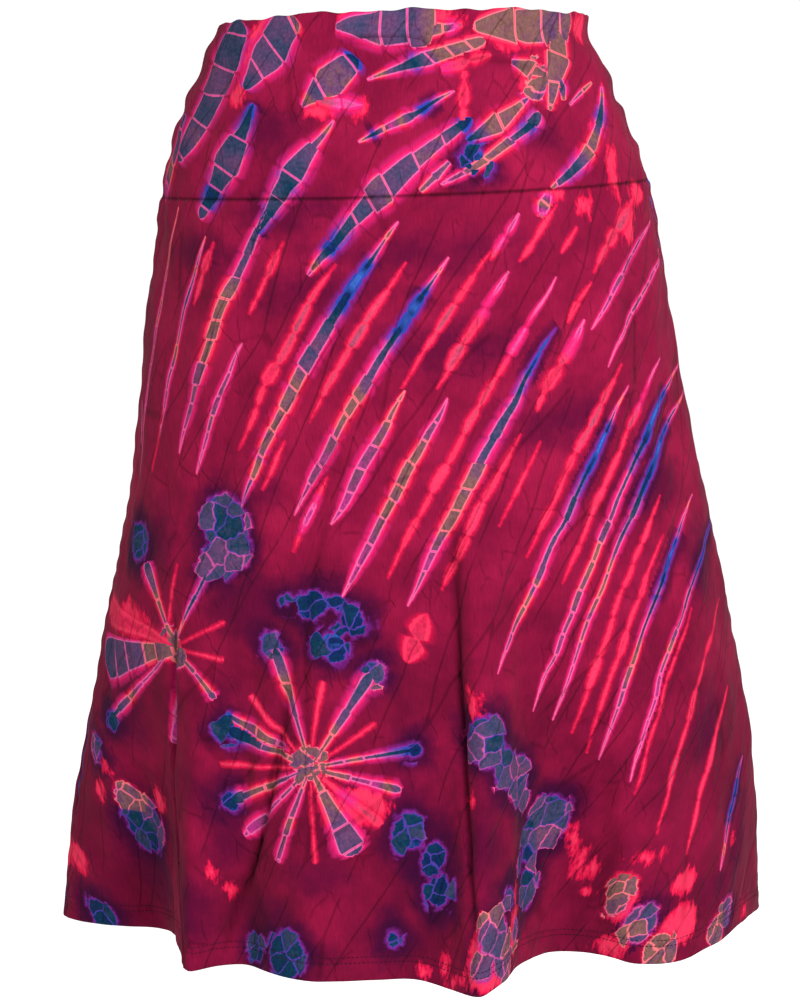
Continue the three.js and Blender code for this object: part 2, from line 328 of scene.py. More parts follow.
# The main creases that are not folds of the whole skirt: how far they stand out (minus is a dent),
# their half width, and their points on the chart.
CREASES = [
    (-9.0, 3.2, (-158, -400), (-159, -470), (-158, -560), (-157, -650)),
    (-5.5, 3, (36, -330), (39, -400), (42, -500), (50, -600), (52, -650)),
    (1.6, 7, (45, -300), (52, -420), (58, -520)),
    (-6.0, 3.4, (-78, -434), (-80, -470), (-94, -543), (-113, -602), (-122, -640)),
    (3.4, 7, (-90, -440), (-92, -480), (-106, -545), (-126, -600)),
    (-1.8, 2.6, (-50, -330), (-62, -380), (-66, -440), (-66, -500)),
    (1.8, 4, (-49, 5), (-20, 5.5), (20, 4)),
    (-5.0, 2.6, (-44, -1), (-22, 0), (4, 0), (24, -3)),
    (1.2, 4, (-40, -7), (-20, -6), (16, -8)),
    (-1.6, 2.2, (20, -12), (60, -12), (104, -20)),
    (-1.0, 5, (60, -2), (92, -14), (120, -34)),
    (1.0, 5, (-118, -20), (-100, -52), (-92, -84)),
    (-0.9, 4, (-30, -60), (4, -78), (44, -84)),
    (1.1, 6, (70, -50), (110, -72), (150, -80)),
    (-1.2, 5, (-140, -128), (-118, -160), (-104, -214)),
    (0.9, 5, (-60, -125), (-52, -168), (-58, -220)),
    (-1.0, 4, (-10, -120), (-20, -170), (-46, -236)),
    (1.0, 6, (60, -122), (66, -168), (58, -230)),
    (-1.1, 5, (112, -118), (120, -170), (136, -232)),
    (0.9, 5, (160, -122), (152, -180), (160, -250)),
    (-1.2, 6, (196, -290), (176, -360), (172, -430)),
    (1.2, 6, (-30, -300), (-42, -380), (-30, -450)),
    (-1.0, 4, (-120, -270), (-128, -330), (-122, -392)),
    (1.0, 5, (120, -330), (104, -400), (110, -470)),
    (-1.1, 5, (0, -330), (-12, -420), (4, -500)),
    (-1.0, 5, (96, -500), (112, -560), (108, -610)),
    (1.1, 6, (150, -490), (156, -560), (150, -620)),
    (-1.0, 5, (206, -450), (214, -520), (206, -590)),
    (1.0, 5, (-190, -380), (-204, -460), (-200, -540)),
    (-0.9, 4, (-60, -560), (-20, -572), (24, -560)),
    (0.8, 4, (-100, -590), (-60, -604), (-20, -596)),
]
SEAM_DENT = 0.9  # how far the cloth sinks into a seam
SEAM_DENT_WIDTH = 2.4
NEEDLE_ROWS = (11.5, 15.3)  # the twin needle's two rows, above the hem edge
NEEDLE_DENT = 0.35
PUCKER = 0.55  # height of the small waves that sewing leaves
BAND_BUMP = 1.5  # height of the bumps of the band beside its side seams
EDGE_WAVE = 0.8  # how unevenly the band's folded edge runs
EDGE_WAVES = [(1, 74, 1), (0.6, 33, 0), (0.4, 19, 0)]  # each wave's share, length and phase
BACK_PHASE = 2.6  # so that the back's ripples differ from the front's
SHADED_CREASE_DEPTH = -1.5  # a crease at least this deep gets painted shade along it
# Soft unevenness of worn cloth: height, waves for each metre across and down, and phase.
RIPPLES = [
    (0.9, 7.1, 2.3, 0.4),
    (0.6, -11.3, 4.1, 1.9),
    (0.5, 17.9, 3.2, 3.1),
    (0.35, 23.1, -9.7, 5.2),
    (0.3, 9.7, 14.9, 2.2),
    (0.22, 41.0, 11.0, 0.9),
    (0.16, -37.0, 23.0, 4.4),
]
crease_lines = [(height, width, flowing_line(points)) for height, width, *points in CREASES]


def bell(distance, width):
    return np.exp(-((distance / width) ** 2))


def along_creases(side):
    """Each crease: its height and half width, the way across it, and its strength from 0 at its ends."""
    for height, width, line in crease_lines:
        across, along, length = beside_line(line, *places[side], 4 * width)
        yield height, width, across, np.clip(np.sin(np.pi * along / length), 0, 1)


def worn_cloth(side):
    """The outer face of a side, with creases, ripples and the dents and puckers of the sewing."""
    points = smooth_cloth[side]
    s, t = places[side]
    lift = np.zeros(s.shape)
    for height, wave_s, wave_t, phase in RIPPLES:
        phase += BACK_PHASE * (side == "back")
        lift += height * np.sin(2 * np.pi * (wave_s * s + wave_t * t) * MM + phase)
    for height, width, across, strength in along_creases(side):
        lift += height * strength**0.6 * bell(across, width)
    rim = abs(s[:, -1:] - s[:, :1]) / 2
    from_side_seam = rim - abs(s)
    above_hem = t[-1:] - t
    lift *= 1 - 0.7 * bell(from_side_seam, 8)
    wave = np.sin(2 * np.pi * (s / 13 + 0.8 * np.sin(s / 37) + 0.5 * np.sin(t / 9)))
    sewn = np.exp(-abs(t) / 9) + np.exp(-abs(above_hem - NEEDLE_ROWS[1]) / 8) * 0.8
    lift += PUCKER * wave * sewn
    side_wave = np.sin(2 * np.pi * (t / 17 + 0.7 * np.sin(t / 41)))
    lift += PUCKER * side_wave * np.exp(-from_side_seam / 9)
    lift -= SEAM_DENT * bell(t, SEAM_DENT_WIDTH) + SEAM_DENT * bell(from_side_seam, SEAM_DENT_WIDTH)
    for row in NEEDLE_ROWS:
        lift -= NEEDLE_DENT * bell(above_hem - row, 1.3)
    bumps = np.sin(2 * np.pi * t / 27 + s / 31)
    lift += BAND_BUMP * (bumps * np.exp(-from_side_seam / 26) * bell(t + 60, 90))
    worn = points + outward(points) * lift[..., None]
    below_edge = t - t[:1]
    edge_wave = sum(part * np.sin(2 * np.pi * s / length + phase) for part, length, phase in EDGE_WAVES)
    worn[..., 2] += EDGE_WAVE * edge_wave * np.exp(-below_edge / 14)
    return worn


def painted_crease_shade(side):
    """Painted shade in the groove of the band's seam and along the deepest creases, from 0 to 1."""
    crease_shade_and_bump = 0.75 * bell(places[side][1], 0.9)
    for height, _, across, strength in along_creases(side):
        if height < SHADED_CREASE_DEPTH:
            crease_shade_and_bump = np.maximum(crease_shade_and_bump, strength**0.5 * bell(across, 2.2) * min(-height / 3.5, 1))
    return crease_shade_and_bump


cloth = {side: worn_cloth(side) for side in sides}
cloth_out = {side: outward(cloth[side]) for side in sides}

# The dye in the tied cells, from one end of the dyer's range to the other.
DYES = {
    "blue": 0, "navy": 0.12, "teal": 0.23, "slate": 0.33, "dusk": 0.42, "olive": 0.52,
    "grape": 0.63, "violet": 0.74, "pink": 0.84, "ghost": 0.92, "coral": 1,
}
WARM_DYES = {"coral", "ghost", "pink", "violet"}  # a pleat that took only these is a run of flames

# The pleats were folded side by side, so they all lean as the skirt flows: most in the middle,
# less towards the sides and the hem. In radians from the vertical.
MOST_LEAN = 0.64
LEAN_LOST_LEFT = 0.5
LEAN_LOST_RIGHT = 0.15
LEAN_LOST_DOWN = 0.0007  # for each mm under the seam
WAIST_REACH = 150  # how far from the middle the lean lost at the sides is reached, at the waist
REACH_GROWTH = 0.17  # and how much farther for each mm down
STEP_DOWN = 15  # about how long each step of a pleat's course is
# Each tied pleat: half width, dyes from end to end, upper end x and z, and length.
PLEATS = [
    (2.2, "olive grape violet", -155, -115, 195),
    (1.5, "violet", -180, -250, 35),
    (2.6, "olive slate grape violet", -135, -135, 150),
    (5.6, "teal olive violet", -85, -105, 200),
    (3.0, "ghost coral", -130, -140, 50),
    (3.2, "coral ghost coral", -80, -140, 60),
    (3.0, "violet grape violet", -110, -210, 100),
    (1.0, "coral", -165, -255, 50),
    (1.2, "coral", -155, -365, 55),
    (4.2, "coral ghost coral coral", -45, -155, 150),
    (5.8, "violet blue slate olive grape teal", 0, -125, 235),
    (3.5, "coral ghost coral", 5, -155, 135),
    (2.0, "coral", -80, -280, 40),
    (5.0, "violet blue slate olive grape violet", 35, -150, 215),
    (3.0, "coral ghost coral", 65, -145, 120),
    (3.2, "violet ghost", 85, -120, 42),
    (4.2, "violet ghost coral", 78, -160, 100),
    (3.6, "violet ghost coral coral", 110, -165, 245),
    (2.8, "coral violet coral", -50, -305, 60),
    (4.7, "olive grape violet", 5, -245, 110),
    (4.8, "violet olive grape violet", 35, -250, 160),
    ((3.4, 5.6, 5.0), "blue teal slate olive grape violet", 110, -200, 225),
    (3.5, "coral", 85, -275, 125),
    (8.0, "coral ghost coral", 20, -400, 40),
    (1.4, "coral", 100, -280, 70),
    (3.6, "coral ghost coral coral", 155, -225, 155),
    (3.6, "violet blue teal slate grape violet", 160, -240, 225),
    (3.2, "violet coral coral", 183, -222, 175),
    (3.7, "violet blue slate olive grape violet", 194, -226, 265),
    (3.2, "coral", 183, -318, 180),
    (3.3, "violet blue slate grape violet", 198, -245, 250),
    (2.6, "coral", 185, -345, 165),
    (3.0, "violet blue slate grape violet", 205, -316, 200),
    (1.8, "coral", 204, -396, 140),
    (2.6, "blue teal grape violet", 220, -330, 200),
    (2.7, "coral coral ghost coral", 225, -390, 175),
    (3.0, "coral", 230, -450, 125),
    (3.0, "teal navy violet", 240, -500, 85),
    (2.8, "coral", 110, -115, 50),
    (2.8, "coral", 125, -130, 25),
    (2.8, "coral ghost", 134, -168, 36),
    (5.0, "coral ghost coral", 163, -110, 62),
    (4.0, "violet ghost coral", 130, -195, 75),
    (2.8, "violet grape violet", 175, -125, 90),
    (2.4, "violet grape violet", 185, -145, 95),
]
# Wider pleats were tied across the band, each its own way. After the half widths, dyes, upper end and
# length come its lean at the upper end and how far it turns on its way, in degrees.
BAND_PLEATS = [
    ((16, 18, 8), "slate slate dusk slate dusk teal", -110, 15, 110, 22, 5),
    ((6, 9, 6), "teal slate olive violet", -150, -50, 65, 15, 0),
    ((14, 14, 6), "dusk dusk slate dusk teal", -75, 20, 65, 30, 0),
    ((3, 12, 7), "navy teal slate dusk teal teal slate", -100, -45, 90, 27, 0),
    ((9, 15, 2), "navy dusk dusk dusk violet", -30, -10, 55, 45, 5),
    ((3, 9, 3), "pink pink coral", -25, -46, 35, 95, 0),
    ((2, 9, 3), "violet dusk dusk slate teal slate teal navy", -45, -55, 100, 40, -12),
    ((5, 10, 3), "navy dusk dusk dusk slate navy violet", 50, -55, 160, 56, -20),
    ((13, 16, 6), "olive slate dusk slate dusk", 25, 10, 70, 90, 0),
    ((1, 5, 1), "pink teal navy dusk violet navy violet", 40, -35, 80, 62, 0),
    ((5, 7, 1), "olive olive olive teal dusk violet", 60, 0, 90, 74, -5),
    ((3, 6, 4), "coral olive teal slate", 45, 10, 50, 82, 0),
    ((2, 7, 4), "coral pink", 65, -10, 38, 75, 0),
    ((14, 15, 6), "olive dusk olive olive olive", 120, 10, 70, 90, 0),
    ((11, 11, 4), "olive olive olive olive", 115, 20, 70, 8, 0),
    ((5, 8, 3), "olive olive olive slate", 105, -25, 30, 110, 0),
    ((2, 4, 2.5), "coral", 45, -20, 42, 0, 0),
    ((3, 8.5, 3), "slate olive olive olive teal navy", 90, -40, 55, 42, 25),
    ((7, 4.5, 2), "slate teal olive olive grape violet", 100, -50, 90, 42, 25),
    ((2, 4.5, 3), "dusk dusk", 35, -85, 30, 45, 0),
    ((2, 5, 1.5), "olive slate grape", 112, -22, 22, -15, 10),
    ((1, 2.6, 1), "olive grape", 135, -30, 22, 45, 0),
    ((2, 7, 3), "coral slate teal olive olive teal slate olive", 140, -30, 88, -10, 70),
    ((2, 5.5, 3), "coral olive coral", 105, -105, 22, 20, 0),
    ((3, 6, 2), "blue grape olive coral", -125, -470, 58, -60, 0),
]
# Two pinches of cloth were tied at their tips, and each left a star of evenly turned rays: the tip,
# the first ray's turn from straight up in degrees, and each ray's half width, dyes and length.
STARS = [
    (
        (-63, -510), -16,
        [
            (6.4, "grape slate olive teal", 90), (2.4, "coral", 63), (6.8, "grape olive slate teal", 80),
            (1.8, "coral", 57), (4.6, "olive grape slate navy", 75), (5.6, "olive grape violet slate", 67),
            (7.5, "coral pink coral", 66), (11, "olive olive dusk slate", 70), (2.2, "coral", 68),
            (4.6, "olive grape grape violet", 70), (5.0, "olive grape grape violet", 66),
            (6.0, "olive slate grape navy", 60), (2.0, "coral", 66), (6.6, "olive grape slate navy", 64),
            (2.4, "coral", 68),
        ],
    ),
    (
        (-158, -426), 22,
        [
            (3.4, "violet slate teal", 58), (1.8, "coral", 41), (1.8, "coral", 38),
            (5.4, "olive grape slate", 46), (4.2, "grape violet", 68), (4.6, "grape violet navy", 66),
            (20, "olive dusk slate", 50), (17, "coral", 58), (7.0, "grape olive slate", 64),
        ],
    ),
]
TIP_BLOT = 11  # half width of the blot at a star's tip
# Loose cloth took the second dye in chains of blots: their number, half width, dyes from end to end,
# upper end x and z, length, and lean and turn in degrees.
BLOT_CHAINS = [
    (3, 12, "teal", -118, -335, 36, 10, 0), (4, 6, "navy", -40, -395, 45, 90, 0),
    (3, 8, "navy teal blue", -35, -400, 32, 10, 30), (6, 12, "teal", 52, -482, 84, -40, 10),
    (5, 9, "navy teal", 95, -550, 60, 15, 0), (4, 13, "slate", 80, -615, 45, 25, 0),
    (6, 8, "navy", 2, -553, 60, -60, 60), (3, 12, "olive teal navy", -185, -530, 32, -30, 0),
    (2, 10, "navy", -80, -640, 20, 90, 0), (1, 9, "teal", -216, -495, 1, 0, 0),
    (1, 9, "teal", -187, -350, 1, 0, 0), (2, 8, "navy", -205, -612, 14, 80, 0),
    (5, 10, "olive slate olive", 148, -590, 62, -30, -10), (2, 8, "navy olive", 232, -610, 24, 40, 0),
    (2, 7, "navy", 55, -75, 14, 0, 0), (1, 12, "olive", 98, -28, 1, 0, 0),
    (1, 4, "navy", -4, -630, 1, 0, 0),
]
# Where little of the ground dye got in, the cloth glows coral: x, z, half width and half height.
GLOWS = [
    (-26, -536, 17, 13), (-188, -406, 16, 12),
    (164, -108, 9, 8), (-167, -531, 6, 8), (-210, -524, 5, 6), (-226, -572, 10, 10), (-206, -510, 4, 5),
    (-133, -583, 4, 5), (-118, -596, 4, 5), (53, -465, 4, 10), (113, -550, 7, 5), (120, -559, 4, 6),
    (124, -578, 5, 10), (134, -580, 5, 6), (100, -557, 3, 3), (129, -596, 3, 2), (156, -604, 9, 12),
    (201, -590, 10, 9), (198, -620, 16, 14), (241, -608, 5, 5), (233, -557, 2, 4), (172, -572, 8, 3),
    (80, -620, 7, 20), (63, -655, 20, 12), (16, -652, 5, 4), (32, -652, 3, 9), (41, -659, 6, 4),
    (49, -532, 4, 3), (-26, -49, 5, 7), (-96, -2, 6, 11), (-36, 16, 6, 6), (41, -18, 4, 4),
    (53, -13, 4, 4), (126, 10, 9, 11), (-97, 4, 10, 15), (-105, -14, 8, 12), (-112, -38, 7, 8),
    (-58, -50, 10, 7), (-16, 4, 8, 5), (30, 14, 12, 6), (78, -4, 14, 5), (92, -30, 9, 9),
    (148, -92, 6, 16), (136, -66, 4, 10), (158, -128, 10, 14), (130, -114, 6, 9), (109, -108, 5, 4),
    (60, -640, 14, 16), (148, -634, 12, 8),
]
# Where more of it got in, the cloth is plum; the patches left of the long fold are painted shade where the
# cloth turns away. Each: x, z, half width and half height.
PLUM_AND_SHADE_PATCHES = [
    (-136, -147, 25, 12), (-60, -175, 35, 12), (30, -215, 40, 14), (112, -266, 35, 14),
    (175, -310, 30, 20), (210, -364, 18, 25), (-176, -339, 9, 9), (-108, -359, 12, 10),
    (-114, -375, 8, 8), (-125, -467, 11, 10),
    (-136, -525, 10, 9), (-92, -613, 16, 10), (-11, -626, 10, 8), (-58, -587, 14, 8), (6, -503, 13, 11),
    (18, -567, 22, 34), (6, -532, 18, 20), (-67, -645, 12, 8), (56, -567, 14, 30), (104, -538, 8, 7),
    (221, -592, 10, 8), (100, -66, 12, 10), (-122, -350, 16, 24), (-44, -412, 14, 18), (-100, -320, 10, 9),
    (-190, -470, 16, 22), (-175, -560, 26, 40), (-150, -610, 18, 18), (-105, -400, 26, 22),
    (-60, -400, 20, 12), (-170, -350, 14, 22), (-120, -560, 12, 16),
    (-95, -65, 22, 12), (-80, -120, 30, 14), (10, -150, 50, 10), (236, -560, 12, 26), (215, -480, 14, 20),
]
# The outlines of tied cloth, as shares of its half width, from one end to the other.
OUTLINES = {
    "lens": lambda place: (1 - abs(2 * place - 1) ** 2.6) ** 0.9,
    "bar": lambda place: (1 - abs(2 * place - 1) ** 18) ** 0.8,
    "ray": lambda place: (0.3 + 0.7 * place**1.3) * (1 - place**30),
}
PAST_THE_END = -6  # no tied cloth is left here
CELL_LENGTH = 13  # how far apart the threads cross a narrow pleat
CELL_GROWTH = 0.7  # and how much farther for each mm of its half width
FLAME_LENGTH = 21  # a cell of a pleat that took only the warm dyes
RAY_LENGTH = 19  # a cell of a star's ray
UNCROSSED = 20 * RAY_LENGTH  # a coral ray has no threads across it


def along_line(place, stops):
    """A value between stops that are evenly spaced from one end of a line to the other."""
    return np.interp(place, np.linspace(0, 1, len(stops)), stops)


def skirt_lean(x, z):
    """How far the cloth's flow leans from the vertical at a place of the chart."""
    aside = x / (WAIST_REACH - REACH_GROWTH * z)
    lost = np.where(aside < 0, LEAN_LOST_LEFT, LEAN_LOST_RIGHT) * aside**2
    return MOST_LEAN - lost - LEAN_LOST_DOWN * (YOKE_SEAM - z)


def running_down(x, z, length, lean=None, turn=0):
    """A line from its upper end down, with the cloth's flow or at a lean of its own in degrees."""
    points = [(x, z)]
    steps = max(round(length / STEP_DOWN), 2)
    for step in range(steps):
        if lean is None:
            tilt = skirt_lean(x, z)
        else:
            tilt = np.radians(lean + turn * (step + 0.5) / steps)
        x -= np.sin(tilt) * length / steps
        z -= np.cos(tilt) * length / steps
        points.append((x, z))
    return points


def star_rays():
    """Each ray of the stars: half width, dyes and the points from its tip out."""
    rays = []
    for (x, z), first, rows in STARS:
        for i, (half, dyes, length) in enumerate(rows):
            around = np.radians(first + 360 * i / len(rows))
            way = np.array([np.sin(around), np.cos(around)])
            points = [tuple(np.array([x, z]) + way * length * share) for share in (0, 0.5, 1)]
            rays.append((half, dyes, points))
    return rays


def blots():
    """Every blot: its place, half width and height, and dye, in chains, at tips and at rays' ends."""
    rows = [(x, z, TIP_BLOT, TIP_BLOT, DYES["olive"]) for (x, z), *_ in STARS]
    for half, dyes, points in star_rays():
        if dyes.split()[-1] in ("teal", "navy"):
            rows.append((*points[-1], half + 1, half + 1, DYES[dyes.split()[-1]]))
    for number, half, dyes, x, z, length, lean, turn in BLOT_CHAINS:
        line = np.array(running_down(x, z, length, lean, turn))
        for i in range(number):
            place = (i + 0.5) / number
            row_x, row_z = (along_line(place, column) for column in line.T)
            size = half * (1 + 0.32 * np.sin(2.4 * i + x))
            aside = 0.45 * half * np.sin(3.7 * i + z)
            hue = along_line(place, [DYES[dye] for dye in dyes.split()])
            rows.append((row_x + aside, row_z - aside / 2, size, size * 1.15, hue))
    return rows


def tied_lines():
    """Every tied pleat and ray: half widths, outline, usual length of a cell, dyes, and its line."""
    lines = []
    for shape, rows in (("lens", PLEATS), ("bar", BAND_PLEATS)):
        for half, dyes, *place in rows:
            half = np.atleast_1d(half)
            is_flame = "coral" in dyes and WARM_DYES.issuperset(dyes.split())
            length = FLAME_LENGTH if is_flame else CELL_LENGTH + CELL_GROWTH * half.max()
            lines.append((half, shape, length, dyes, flowing_line(running_down(*place))))
    for half, dyes, points in star_rays():
        length = UNCROSSED if "coral" in dyes else RAY_LENGTH
        lines.append((np.atleast_1d(half), "ray", length, dyes, flowing_line(points)))
    return lines


tied = tied_lines()
cell_lengths = np.array([length for _, _, length, *_ in tied])
blot_rows = blots()


def lumps(rows, s, t):
    """How deep each place lies in the nearest of a list of blots, in mm, and the row of that blot."""
    deepest = np.full(s.shape, -99.0)
    row = np.zeros(s.shape, int)
    for i, (x, z, half_width, half_height, *_) in enumerate(rows):
        lump_s, lump_t = on_cloth(x, z)
        away = np.hypot((s - lump_s) / half_width, (t - lump_t) / half_height)
        depth = (1 - away) * min(half_width, half_height)
        row = np.where(depth > deepest, i, row)
        deepest = np.maximum(deepest, depth)
    return deepest, row


def dye_chart(side):
    """The dye at each point of a side: tied line across, along, half width and dye, the blots, and the
    painted shade.
    """
    s, t = places[side]
    if side == "back":
        rim = abs(s[:, -1:] - s[:, :1]) / 2
        inner = np.cos(np.pi / 2 * s / rim)
        s = s + 16 * inner * np.sin(t / 71 + 1) + 9 * inner * np.sin(t / 29)
        t = t + 14 * inner * np.sin(s / 57) - 7 * inner
    across, along, halves, hues = [], [], [], []
    for half, shape, _, dyes, line in tied:
        off, run, length = beside_line(line, s, t)
        place = run / length
        inside = (place > 0) & (place < 1)
        stops = [DYES[dye] for dye in dyes.split()]
        across.append(off)
        along.append(run)
        within = np.clip(place, 0, 1)
        halves.append(np.where(inside, along_line(place, half) * OUTLINES[shape](within), PAST_THE_END))
        hues.append(along_line(place, stops))
    blot, blot_row = lumps(blot_rows, s, t)
    return {
        "tied": [np.array(values, np.float32) for values in (across, along, halves, hues)],
        "blot": blot,
        "blot_dye": np.array([hue for *_, hue in blot_rows])[blot_row],
        "glow": lumps(GLOWS, s, t)[0],
        "plum_and_shade": lumps(PLUM_AND_SHADE_PATCHES, s, t)[0],
        "crease_shade_and_bump": painted_crease_shade(side),
    }


dye = {side: dye_chart(side) for side in sides}


def nearest_tie(side):
    """Which tied line each facet of a side takes."""
    across, _, halves, _ = dye[side]["tied"]

    def middle(values):
        return (values[:, 1:, 1:] + values[:, :-1, 1:] + values[:, 1:, :-1] + values[:, :-1, :-1]) / 4

    return np.argmin(abs(middle(across)) - middle(halves), axis=0)


ties = {side: nearest_tie(side) for side in sides}


def four_corners(first, second, third, fourth):
    """The values at the corners of each facet, one facet in a row."""
    return np.stack([first, second, third, fourth], -1).reshape(-1, 4)


def shell(name, side, first, last, thickness, round_top, round_bottom, turned_up=0):
    """A closed shell of cloth between two rows of a side, with the dye and the painted shade stored on its
    facets.
    """
    points, out = cloth[side], cloth_out[side]
    rows = list(range(first, last + 1))
    inside = sorted(set(rows[::-INSIDE_STEP] + [first]), reverse=True)
    row_height = points[last - 1, 0, 2] - points[last, 0, 2]
    cut_edge = last - int(round(turned_up / row_height))
    section = [(first, points[first] - out[first] * thickness / 2 + round_top * direction_up(points, first))]
    section += [(j, points[j]) for j in rows]
    section += [(last, points[last] - out[last] * thickness / 2 - round_bottom * direction_up(points, last))]
    for j in inside:
        deep = thickness + (JERSEY + 0.1 if j > cut_edge else 0)
        section.append((j, points[j] - out[j] * deep))
    source = np.array([j for j, _ in section])
    grid = np.array([row for _, row in section])
    count, width = grid.shape[:2]
    k, i = np.meshgrid(np.arange(count), np.arange(COLUMNS), indexing="ij")
    after = (k + 1) % count
    here, below = k * width + i, after * width + i
    quads = four_corners(here, below, below + 1, here + 1)
    corner_row = four_corners(source[k], source[after], source[after], source[k])
    corner_column = four_corners(i, i, i + 1, i + 1)
    facet_row = np.clip((source[k] + source[after]) // 2, 0, len(levels) - 2).reshape(-1)
    tie = ties[side][facet_row, i.reshape(-1)][:, None]
    chart = dye[side]
    across, along, halves, hues = (values[tie, corner_row, corner_column] for values in chart["tied"])

    ends = end_caps(rows, inside, count, width)
    mesh = bpy.data.meshes.new(name)
    mesh.from_pydata((grid.reshape(-1, 3) * MM).tolist(), [], quads.tolist() + ends)
    loops = len(mesh.loops)
    s, t = places[side]

    def store(label, first_part, second_part, third_part):
        values = np.zeros((loops, 3), np.float32)
        filled = np.stack([first_part, second_part, third_part], -1).reshape(-1, 3)
        values[: len(filled)] = filled
        mesh.attributes.new(label, "FLOAT_VECTOR", "CORNER").data.foreach_set("vector", values.ravel())

    at = (corner_row, corner_column)
    store("tied_pleat", across, along, halves)
    store("tied_dye", hues, tie + 0 * hues, cell_lengths[tie] + 0 * hues)
    store("cloth_place", s[at], t[at], 0 * s[at] + 500 * (side == "back"))
    store("blots", chart["blot"][at], chart["blot_dye"][at], chart["glow"][at])
    store("plum_and_painted_shade", chart["plum_and_shade"][at], chart["crease_shade_and_bump"][at], 0 * s[at])
    lay_out(mesh, grid, ends, k, corner_column)
    mesh.shade_smooth()
    piece = bpy.data.objects.new(name, mesh)
    bpy.context.collection.objects.link(piece)
    return piece


def direction_up(points, row):
    """The direction up the cloth at a row."""
    up = points[max(row - 1, 0)] - points[min(row + 1, len(points) - 1)]
    return up / np.linalg.norm(up, axis=1, keepdims=True)


def end_caps(rows, inside, count, width):
    """The facets that close a shell at its two side seams."""
    caps = []
    first_inside = len(rows) + 2
    for k, (lower, upper) in enumerate(zip(inside[:-1], inside[1:])):
        outer = [1 + j - rows[0] for j in range(upper, lower + 1)]
        ring = outer + [first_inside + k, first_inside + k + 1]
        caps.append([row * width for row in ring[::-1]])
        caps.append([row * width + width - 1 for row in ring])
    top, bottom = 0, len(rows) + 1
    for ring in ([top, 1, count - 1], [bottom, first_inside, len(rows)]):
        caps.append([row * width for row in ring[::-1]])
        caps.append([row * width + width - 1 for row in ring])
    return caps


CAP_MARGIN = 0.02  # share of the flat map's width that is kept for the end caps
INSIDE_SCALE = 0.35  # the inside's scale on the flat map


def lay_out(mesh, grid, ends, k, corner_column):
    """A flat map of the shell: its section unrolled, the inside at a smaller scale, ends beside it."""
    count = len(grid)
    strip = np.linalg.norm(np.roll(grid, -1, axis=0) - grid, axis=2).mean(1)
    outside = np.arange(count) < count - np.sum(strip > 1.5 * np.median(strip)) - 2
    strip = np.maximum(strip, 0.6) * np.where(outside, 1, INSIDE_SCALE)
    down = np.append(0, np.cumsum(strip)) / strip.sum()
    v = four_corners(down[k], down[k + 1], down[k + 1], down[k])
    u = CAP_MARGIN + (1 - 2 * CAP_MARGIN) * corner_column / COLUMNS
    flat = np.stack([u, 1 - v], -1).reshape(-1, 2)
    width = grid.shape[1]
    beside = []
    for ring in ends:
        right = ring[0] % width > 0
        rows = [index // width for index in ring]
        outer = [row for row in rows if row <= count // 2 or row < max(rows)]
        low, high = down[min(outer)], down[max(outer)]
        for n, _ in enumerate(ring):
            angle = 2 * np.pi * n / len(ring)
            x = 0.45 * CAP_MARGIN * (1 + 0.5 * np.cos(angle))
            y = (low + high) / 2 + 0.4 * min(high - low, 0.01) * np.sin(angle)
            beside.append((1 - x if right else x, 1 - y))
    layer = mesh.uv_layers.new(name="OFBake")
    layer.data.foreach_set("uv", np.concatenate([flat, beside]).astype(np.float32).ravel())


